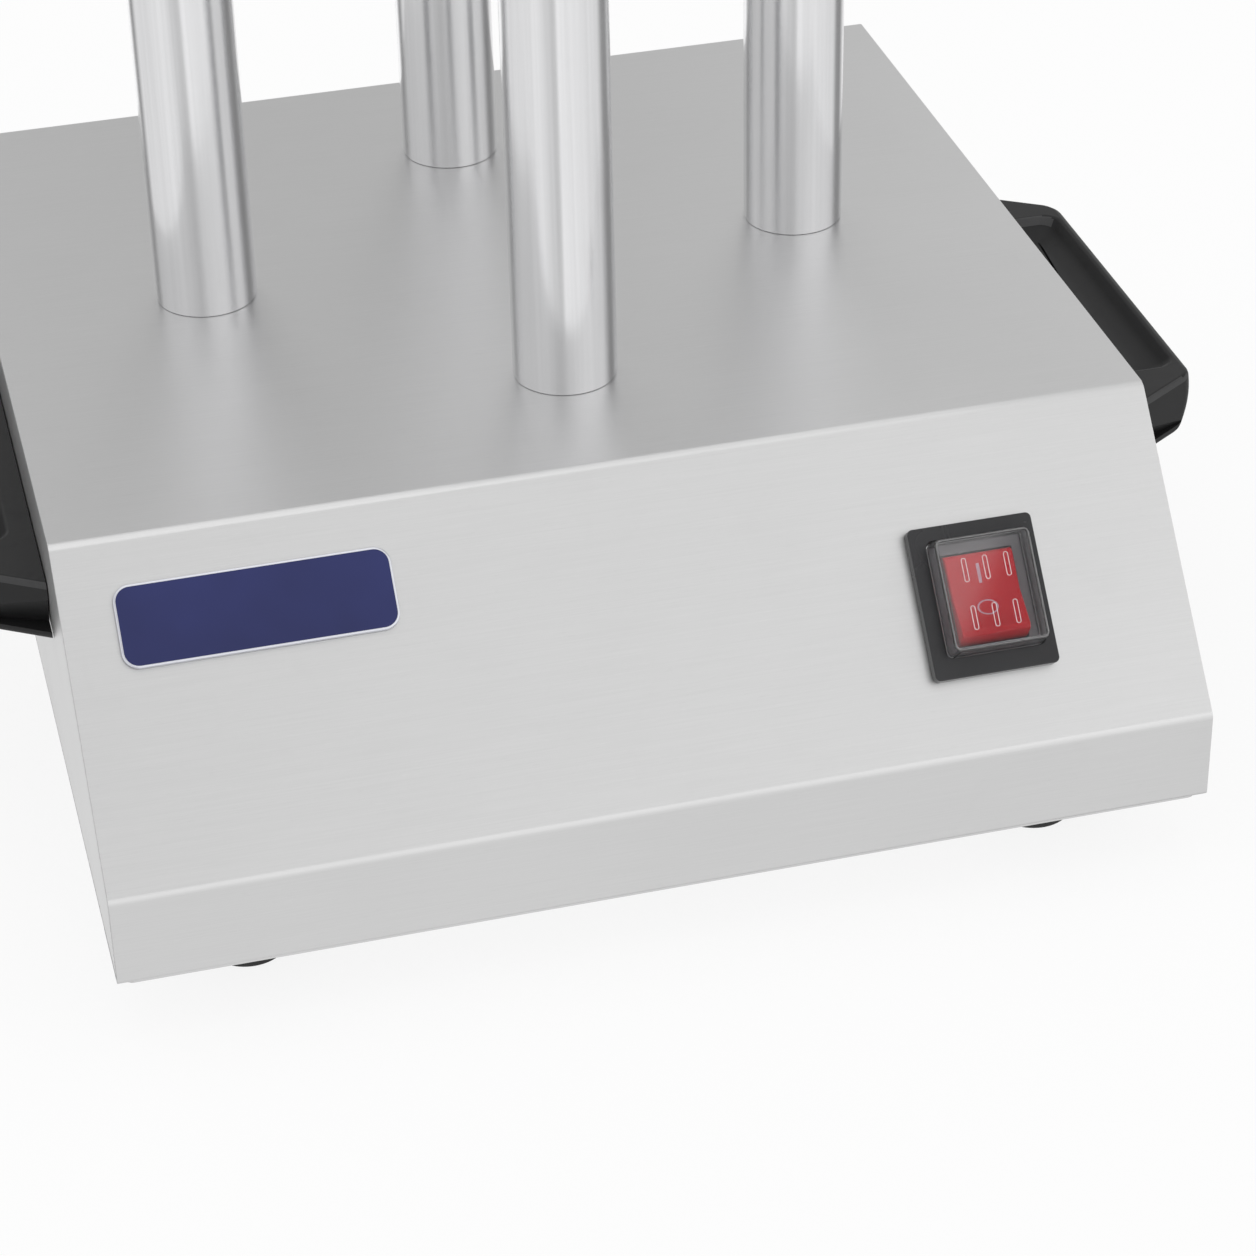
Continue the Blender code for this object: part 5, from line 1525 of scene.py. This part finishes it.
class SPIKEMACHINE_OT_feet(PieceOperator, bpy.types.Operator):
    """Turns one rubber foot with its screw pocket and copies it to the four corners"""

    bl_idname = "spikemachine.feet"
    bl_label = "Rubber feet"
    POCKET_EDGE = 0.0004
    SIDES = 64

    def execute(self, context):
        machine = context.scene.spike_machine
        sizes = machine.small
        ground, top = sizes.foot_ground / 2, sizes.foot_top / 2
        pocket, hole, edge = sizes.foot_pocket / 2, sizes.screw_hole / 2, sizes.foot_edge
        profile = [(pocket, self.POCKET_EDGE), (pocket + self.POCKET_EDGE, 0)]
        profile += arc((ground - edge, edge), edge, -90, 0, 5)
        profile += arc((top - edge, sizes.foot_height - edge), edge, 0, 90, 5)
        profile += [
            (hole, sizes.foot_height),
            (hole, sizes.foot_pocket_depth),
            (pocket, sizes.foot_pocket_depth),
            (pocket, self.POCKET_EDGE),
        ]
        foot = turn_profile("foot", profile, self.SIDES)
        rubber = moulded_plastic(
            "foot rubber", machine.finishes.rubber, rough=0.72, grain=1500.0, bump=0.5, paler=2.4
        )
        spots = {name: middle_of(f"foot_{name}") for name in CORNER_NAMES}
        places = {name: move(spot.x, spot.y, 0) for name, spot in spots.items()}
        hand_over_copies(foot, places, "rubber_foot", rubber, "foot")
        return {"FINISHED"}


class SPIKEMACHINE_OT_screws(PieceOperator, bpy.types.Operator):
    """Makes the pan head screws under the machine, each with a cross recess"""

    bl_idname = "spikemachine.screws"
    bl_label = "Screws underneath"
    SIDES = 32
    PITCH = 0.0007
    THREAD_DEPTH = 0.0003
    DOME_SHARES = ((0.45, 0.00006), (0.72, 0.00028))
    RIM, RIM_LEVEL, BACK_EDGE = 0.0009, 0.0012, 0.0002
    SLOT_REACH, SLOT_HALF, SLOT_DEPTH = 0.0021, 0.00055, 0.0013
    SLOT_DRAW = (0.5, 0.6, 1)

    def execute(self, context):
        machine = context.scene.spike_machine
        zinc = zinc_plate(machine.finishes)
        for kind in ("base_screw", "foot_screw"):
            places = {name: self.under(f"{kind}_{name}") for name in CORNER_NAMES}
            screw = self.screw(machine.small, f"{kind}_front_left")
            hand_over_copies(screw, places, f"cross_{kind}", zinc, kind)
        screw = set_in_place(self.screw(machine.small, "earth_screw"), self.under("earth_screw"))
        hand_over(screw, "cross_earth_screw", zinc, ["earth_screw"])
        return {"FINISHED"}

    def under(self, node_name):
        """The place of a screw's head, at the bottom of its CAD node."""
        low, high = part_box(node_name)
        return move((low.x + high.x) / 2, (low.y + high.y) / 2, low.z)

    def screw(self, sizes, node_name):
        """A domed pan head at the bottom, with rolled thread rings on its shank above."""
        bottom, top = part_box(node_name)
        total = top.z - bottom.z
        head, shank, tall = sizes.screw_head / 2, sizes.screw_shank / 2, sizes.screw_head_height
        root = shank - self.THREAD_DEPTH
        profile = [(0, 0), *((head * part, level) for part, level in self.DOME_SHARES)]
        profile += arc((head - self.RIM, self.RIM_LEVEL), self.RIM, -60, 0, 4)
        profile += [(head, tall - self.BACK_EDGE), (head - self.BACK_EDGE, tall), (root, tall)]
        height = tall
        while height + self.PITCH < total - shank / 2:
            profile += [(shank, height + self.PITCH / 2), (root, height + self.PITCH)]
            height += self.PITCH
        profile += [(shank / 2, total), (0, total)]
        screw = turn_profile("screw", profile, self.SIDES)
        reach, half, deep = self.SLOT_REACH, self.SLOT_HALF, self.SLOT_DEPTH
        for turn in (0, SQUARE):
            slot = add_block("slot", (-reach, -half, -OVERRUN / 2), (reach, half, deep))
            edit(slot)
            pick("FACE", ends_at(z=deep))
            bpy.ops.transform.resize(value=self.SLOT_DRAW, center_override=(0, 0, deep))
            leave_edit()
            cut(screw, set_in_place(slot, Matrix.Rotation(turn, 4, "Z")))
        return screw


class SPIKEMACHINE_OT_gland(PieceOperator, bpy.types.Operator):
    """Makes the cable gland's hexagon, thread and fluted dome nut at the back"""

    bl_idname = "spikemachine.gland"
    bl_label = "Cable gland"
    HEX_EDGE, HEX_CHAMFER = 0.0004, 0.0006
    PITCH = 0.0015
    CREST_SHARES = (0.4, 0.6)
    THREAD_SIDES, DOME_SIDES = 48, 72
    NUT_EDGE, MOUTH_EDGE = 0.0003, 0.0004
    SHOULDER_SHARE, BULGE, DOME_STEPS = 0.5, 0.8, 8
    FLUTE_PITCH, FLUTE_WIDTH = 30, 10
    FLUTE_INSET, FLUTE_DEPTH, FLUTE_REACH = 0.0002, 0.0006, 0.0005

    def execute(self, context):
        machine = context.scene.spike_machine
        sizes, gap = machine.small, machine.housing.gap
        nylon = moulded_plastic(
            "gland nylon", machine.finishes.nylon, rough=0.45, grain=2000.0, bump=0.3, paler=1.8
        )
        low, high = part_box("gland_body")
        centre = (low + high) / 2
        flange = machine.housing.sheet + gap
        inside = high.y - low.y - sizes.gland_neck_length - sizes.gland_hex_depth - flange
        place = move(centre.x, REAR - machine.housing.sheet, centre.z)
        place = place @ Matrix.Rotation(-SQUARE, 4, "X")
        end = flange + sizes.gland_hex_depth
        body = self.hexagon(sizes, flange, end)
        neck_end = end + sizes.gland_neck_length
        thread = self.threaded(sizes.gland_thread / 2, -inside, (flange + end) / 2)
        neck = self.threaded(sizes.gland_neck / 2, (flange + end) / 2, neck_end)
        join(body, thread, neck)
        ends = (-inside - OVERRUN, neck_end + OVERRUN)
        cut(body, add_rod("cord_bore", sizes.gland_bore, *ends, HOLE_SIDES))
        set_in_place(body, place)
        hand_over(body, "gland_hexagon", nylon, ["gland_body"])
        dome = self.dome(sizes, gap)
        set_in_place(dome, place @ move(0, 0, end + gap))
        hand_over(dome, "gland_fluted_nut", nylon, ["gland_dome_nut"])
        return {"FINISHED"}

    def hexagon(self, sizes, low, high):
        """A hexagon with its corners chamfered on the outer face."""
        radius = sizes.gland_hex / math.sqrt(3)
        body = add_rod("hexagon", 2 * radius, low, high, 6)
        set_in_place(body, Matrix.Rotation(math.pi / 6, 4, "Z"))
        edit(body)
        round_off(upright, self.HEX_EDGE, 3)
        round_off(ends_at(z=high), self.HEX_CHAMFER, 3)
        leave_edit()
        return body

    def threaded(self, radius, low, high):
        """A threaded rod with rings instead of a helix."""
        rings = int((high - low) / self.PITCH)
        points = thread_rings(radius, low, high, rings, self.CREST_SHARES)
        return turn_profile("thread", [(0, low), *points, (0, high)], self.THREAD_SIDES)

    def dome(self, sizes, gap):
        """A nut that closes in towards the cord, with grip flutes round its wide part."""
        outer, inner = sizes.gland_hex / 2 - gap, sizes.gland_neck / 2 + gap
        end, hole, tall = sizes.dome_end / 2, sizes.gland_bore / 2, sizes.dome_length
        cavity = sizes.gland_neck_length + gap
        shoulder = tall * self.SHOULDER_SHARE
        edge, mouth = self.NUT_EDGE, self.MOUTH_EDGE
        profile = [(inner, 0), (outer - edge, 0), (outer, edge), (outer, shoulder)]
        for step in range(1, self.DOME_STEPS + 1):
            turn = SQUARE * step / self.DOME_STEPS
            wide = end + (outer - end) * math.cos(turn) ** self.BULGE
            profile.append((wide, shoulder + (tall - mouth - shoulder) * math.sin(turn)))
        profile += [(end - edge, tall), (hole + mouth, tall), (hole, tall - mouth)]
        profile += [(hole, cavity), (inner, cavity), (inner, 0)]
        dome = turn_profile("dome", profile, self.DOME_SIDES)
        edit(dome)

        def flute(face):
            middle = face.calc_center_median()
            upright_face = abs(face.normal.z) < 0.1 and middle.xy.length > outer - self.FLUTE_REACH
            turn = math.degrees(math.atan2(middle.y, middle.x)) % self.FLUTE_PITCH
            return upright_face and turn < self.FLUTE_WIDTH and middle.z > mouth

        pick("FACE", flute)
        bpy.ops.mesh.inset(thickness=self.FLUTE_INSET, depth=-self.FLUTE_DEPTH)
        finish_edit()
        return dome


class SPIKEMACHINE_OT_plain_parts(PieceOperator, bpy.types.Operator):
    """Gives the parts kept from the CAD model their finishes: the base, heaters, nuts and wiring"""

    bl_idname = "spikemachine.plain_parts"
    bl_label = "Base and inner parts"

    def execute(self, context):
        finishes = context.scene.spike_machine.finishes
        sheath = brushed_metal(
            "drawn heater sheath", finishes.sheath, (1500, 1500, 60), (900, 900, 12), rough=0.45
        )
        brass = brushed_metal("stamped brass", finishes.brass, (1500, 400, 400), (500, 60, 60), rough=0.33)
        zinc = zinc_plate(finishes)
        nylon = moulded_plastic("lock nut nylon", finishes.nylon, rough=0.45, grain=2000.0, bump=0.3)
        looks = {
            "base_plate": stainless(finishes, "X"),
            "gland_lock_nut": nylon,
            "terminal_block": glazed_ceramic(finishes),
            "terminal_block_screw": zinc,
            "earth_nut": zinc,
            "earth_lead": earth_sleeve(finishes),
            "switch_lead": braided_sleeve(finishes),
        }
        for name in SPIKE_NAMES:
            looks[f"heater_{name}"] = sheath
            looks[f"spike_washer_{name}"] = zinc
            looks[f"spike_nut_{name}"] = zinc
            looks[f"heater_lead_{name}"] = braided_sleeve(finishes)
        for number in range(1, 5):
            looks[f"switch_terminal_{number}"] = brass
        for side, _ in SIDES:
            for end in ("front", "rear"):
                looks[f"handle_screw_{side}_{end}"] = zinc
        for name, look in looks.items():
            kept = frame["nodes"][name]
            if not kept.material_slots:
                raise RuntimeError(f"{name} has no material slot")
            for slot in kept.material_slots:
                slot.link = "OBJECT"
                slot.material = look
        return {"FINISHED"}


class SPIKEMACHINE_OT_stage(PieceOperator, bpy.types.Operator):
    """Sets the pale floor, the soft lamps, the white surroundings and the camera"""

    bl_idname = "spikemachine.stage"
    bl_label = "Stage and camera"
    FLOOR_GLOW = 0.87
    FRONT_STRENGTH = 1.6
    SIDE_STRENGTH = 0.30
    CARD_SLANT, CARD_DIM = -1.86, 0.10

    def execute(self, context):
        studio = context.scene.spike_machine.studio
        self.floor(studio)
        self.lamps(studio)
        self.world(context.scene, studio)
        self.camera(context.scene, studio)
        context.scene.view_settings.view_transform = "Standard"
        return {"FINISHED"}

    def floor(self, studio):
        deselect()
        bpy.ops.mesh.primitive_plane_add(size=studio.floor, location=(0, 0, 0))
        floor = named("pale_floor")
        material, tree, shader, place = start_material("pale floor")
        cloudy = noise(tree, place, 3.0)
        tone = blend(tree, cloudy, tinted(studio.floor_white, 0.99), tinted(studio.floor_white, 1.01))
        tree.links.new(tone, shader.inputs["Base Color"])
        shader.inputs["Roughness"].default_value = 0.9
        shader.inputs["Specular IOR Level"].default_value = 0.0
        path = node(tree, "ShaderNodeLightPath")
        seen = maths(tree, "MAXIMUM", path.outputs["Is Camera Ray"], path.outputs["Is Transmission Ray"])
        glow = node(tree, "ShaderNodeEmission", {"Color": (1, 1, 1, 1), "Strength": 1.0})
        share_lit = times(tree, seen, self.FLOOR_GLOW)
        lit = node(tree, "ShaderNodeMixShader", {0: share_lit, 1: shader.outputs[0], 2: glow.outputs[0]})
        clear = node(tree, "ShaderNodeBsdfTransparent")
        glossy = path.outputs["Is Glossy Ray"]
        mix = node(tree, "ShaderNodeMixShader", {0: glossy, 1: lit.outputs[0], 2: clear.outputs[0]})
        output = tree.nodes["Material Output"]
        tree.links.new(mix.outputs[0], output.inputs["Surface"])
        floor.data.materials.append(material)

    def lamps(self, studio):
        middle = Vector((0, 0, 0.1))
        lamps = (
            ("overhead softbox", studio.key_power, 2.4, (-0.2, 0.1, 2.3)),
            ("right softbox", studio.fill_power, 1.0, (1.5, -1.0, 1.1)),
        )
        for name, power, size, spot in lamps:
            data = bpy.data.lights.new(name, "AREA")
            data.energy = power
            data.shape = "SQUARE"
            data.size = size
            lamp = bpy.data.objects.new(name, data)
            lamp.visible_glossy = name == "overhead softbox"
            bpy.context.scene.collection.objects.link(lamp)
            lamp.location = spot
            lamp.rotation_euler = (middle - Vector(spot)).to_track_quat("-Z", "Y").to_euler()

    def world(self, scene, studio):
        """White to the camera, even to plain surfaces, and soft bands to polished ones."""
        world = bpy.data.worlds.new("white studio")
        scene.world = world
        world.use_nodes = True
        tree = world.node_tree
        background = tree.nodes["Background"]
        path = node(tree, "ShaderNodeLightPath")
        way = node(tree, "ShaderNodeTexCoord").outputs["Generated"]
        height = node(tree, "ShaderNodeSeparateXYZ", {0: way}).outputs["Z"]
        bands = self.bands(tree, way, height)
        strength = between(tree, path.outputs["Is Glossy Ray"], studio.ambient, bands)
        seen = maths(tree, "MAXIMUM", path.outputs["Is Camera Ray"], path.outputs["Is Transmission Ray"])
        refracted = spread(tree, height, 0.0, 0.15, 1.0, 0.15)
        plain = maths(tree, "MAXIMUM", path.outputs["Is Camera Ray"], path.outputs["Diffuse Depth"])
        white = maths(tree, "MINIMUM", maths(tree, "MAXIMUM", plain, refracted), 1.0)
        final = between(tree, seen, strength, white)
        background.inputs["Color"].default_value = (1, 1, 1, 1)
        tree.links.new(final, background.inputs["Strength"])

    def bands(self, tree, way, height):
        """Bright cards at the camera's side, dim gaps beside the object and a softer grey behind it."""
        level = node(tree, "ShaderNodeVectorMath", {0: way, 1: (1, 1, 0)}, operation="MULTIPLY")
        level = node(tree, "ShaderNodeVectorMath", {0: level.outputs[0]}, operation="NORMALIZE").outputs[0]
        aside = along(tree, level, ASIDE)
        toward = along(tree, level, TOWARD)
        aside_share = spread(tree, aside, -1, 1, 0, 1)
        front = times(tree, steps_of(tree, aside_share, FRONT_ACROSS), self.FRONT_STRENGTH)
        tall = spread(tree, height, -1, 1, 0, 1)
        front = times(tree, front, steps_of(tree, tall, FRONT_UPWARD))
        high = spread(tree, height, 0.2, 0.5, 0, 1)
        right_card = spread(tree, aside, 0.30, 0.70, 0.92, 1.25)
        front = times(tree, front, between(tree, high, 1.0, right_card))
        front = times(tree, front, self.cap_card(tree, aside, height))
        behind = steps_of(tree, aside_share, BEHIND_ACROSS)
        upward = spread(tree, height, -0.10, 0.10, 0, 1)
        below = spread(tree, aside, -0.60, -0.30, 1.45, 0.98)
        behind = between(tree, upward, below, behind)
        sided = plus(tree, toward, spread(tree, aside, -0.1, 0.1, 0.18, 0.0))
        in_front = spread(tree, sided, -0.40, -0.20, 0, 1)
        bands = between(tree, in_front, self.SIDE_STRENGTH, front)
        far_behind = spread(tree, toward, -0.88, -0.66, 1, 0)
        return between(tree, far_behind, bands, behind)

    def cap_card(self, tree, aside, height):
        """A small card that only the cap's front mirrors: bright on the left and dim on the right."""
        across = window(tree, aside, 0.615, 0.690, 0.004)
        upward = window(tree, height, 0.660, 0.750, 0.004)
        inside = times(tree, across, upward)
        slanted = plus(tree, aside, times(tree, height, self.CARD_SLANT))
        dim = spread(tree, slanted, -0.7145, -0.7075, 0, 1)
        veil = spread(tree, height, 0.722, 0.738, 2.1, 2.2)
        card = between(tree, dim, veil, self.CARD_DIM)
        return between(tree, inside, 1.0, card)

    def camera(self, scene, studio):
        data = bpy.data.cameras.new("photo camera")
        data.lens = studio.lens * 1000
        data.sensor_width = SENSOR_WIDTH
        data.clip_start = 0.01
        camera = bpy.data.objects.new("photo camera", data)
        scene.collection.objects.link(camera)
        turn = Matrix(CAMERA_AXES).transposed().to_quaternion().to_matrix().to_4x4()
        camera.matrix_world = move(*CAMERA_SPOT) @ turn
        scene.camera = camera


class SPIKEMACHINE_PT_panel(bpy.types.Panel):
    """Lists the settings and the steps that build the machine"""

    bl_idname = "SPIKEMACHINE_PT_panel"
    bl_label = "Hot dog spike machine"
    bl_space_type = "VIEW_3D"
    bl_region_type = "UI"
    bl_category = "Spike Machine"

    def draw(self, context):
        layout = self.layout
        for step in STEPS:
            layout.operator(step.bl_idname)
        machine = context.scene.spike_machine
        for name in MachineSettings.__annotations__:
            box = layout.box()
            box.label(text=name.capitalize())
            group = getattr(machine, name)
            for setting in type(group).__annotations__:
                box.prop(group, setting)


STEPS = (
    SPIKEMACHINE_OT_stage,
    SPIKEMACHINE_OT_folded_wrap,
    SPIKEMACHINE_OT_side_panels,
    SPIKEMACHINE_OT_spikes,
    SPIKEMACHINE_OT_handles,
    SPIKEMACHINE_OT_switch_frame,
    SPIKEMACHINE_OT_rocker,
    SPIKEMACHINE_OT_splash_cap,
    SPIKEMACHINE_OT_badge,
    SPIKEMACHINE_OT_feet,
    SPIKEMACHINE_OT_screws,
    SPIKEMACHINE_OT_gland,
    SPIKEMACHINE_OT_plain_parts,
)

CLASSES = (
    HousingSettings,
    SpikeSettings,
    HandleSettings,
    SwitchSettings,
    SmallPartSettings,
    FinishSettings,
    StudioSettings,
    MachineSettings,
    *STEPS,
    SPIKEMACHINE_PT_panel,
)


def register():
    for kind in CLASSES:
        bpy.utils.register_class(kind)
    bpy.types.Scene.spike_machine = bpy.props.PointerProperty(type=MachineSettings)


def unregister():
    del bpy.types.Scene.spike_machine
    for kind in reversed(CLASSES):
        bpy.utils.unregister_class(kind)


def main():
    """Builds the machine, one operator after the other."""
    register()
    bpy.ops.spikemachine.stage()
    bpy.ops.spikemachine.folded_wrap()
    bpy.ops.spikemachine.side_panels()
    bpy.ops.spikemachine.spikes()
    bpy.ops.spikemachine.handles()
    bpy.ops.spikemachine.switch_frame()
    bpy.ops.spikemachine.rocker()
    bpy.ops.spikemachine.splash_cap()
    bpy.ops.spikemachine.badge()
    bpy.ops.spikemachine.feet()
    bpy.ops.spikemachine.screws()
    bpy.ops.spikemachine.gland()
    bpy.ops.spikemachine.plain_parts()
    deselect()


if __name__ == "__main__":
    main()
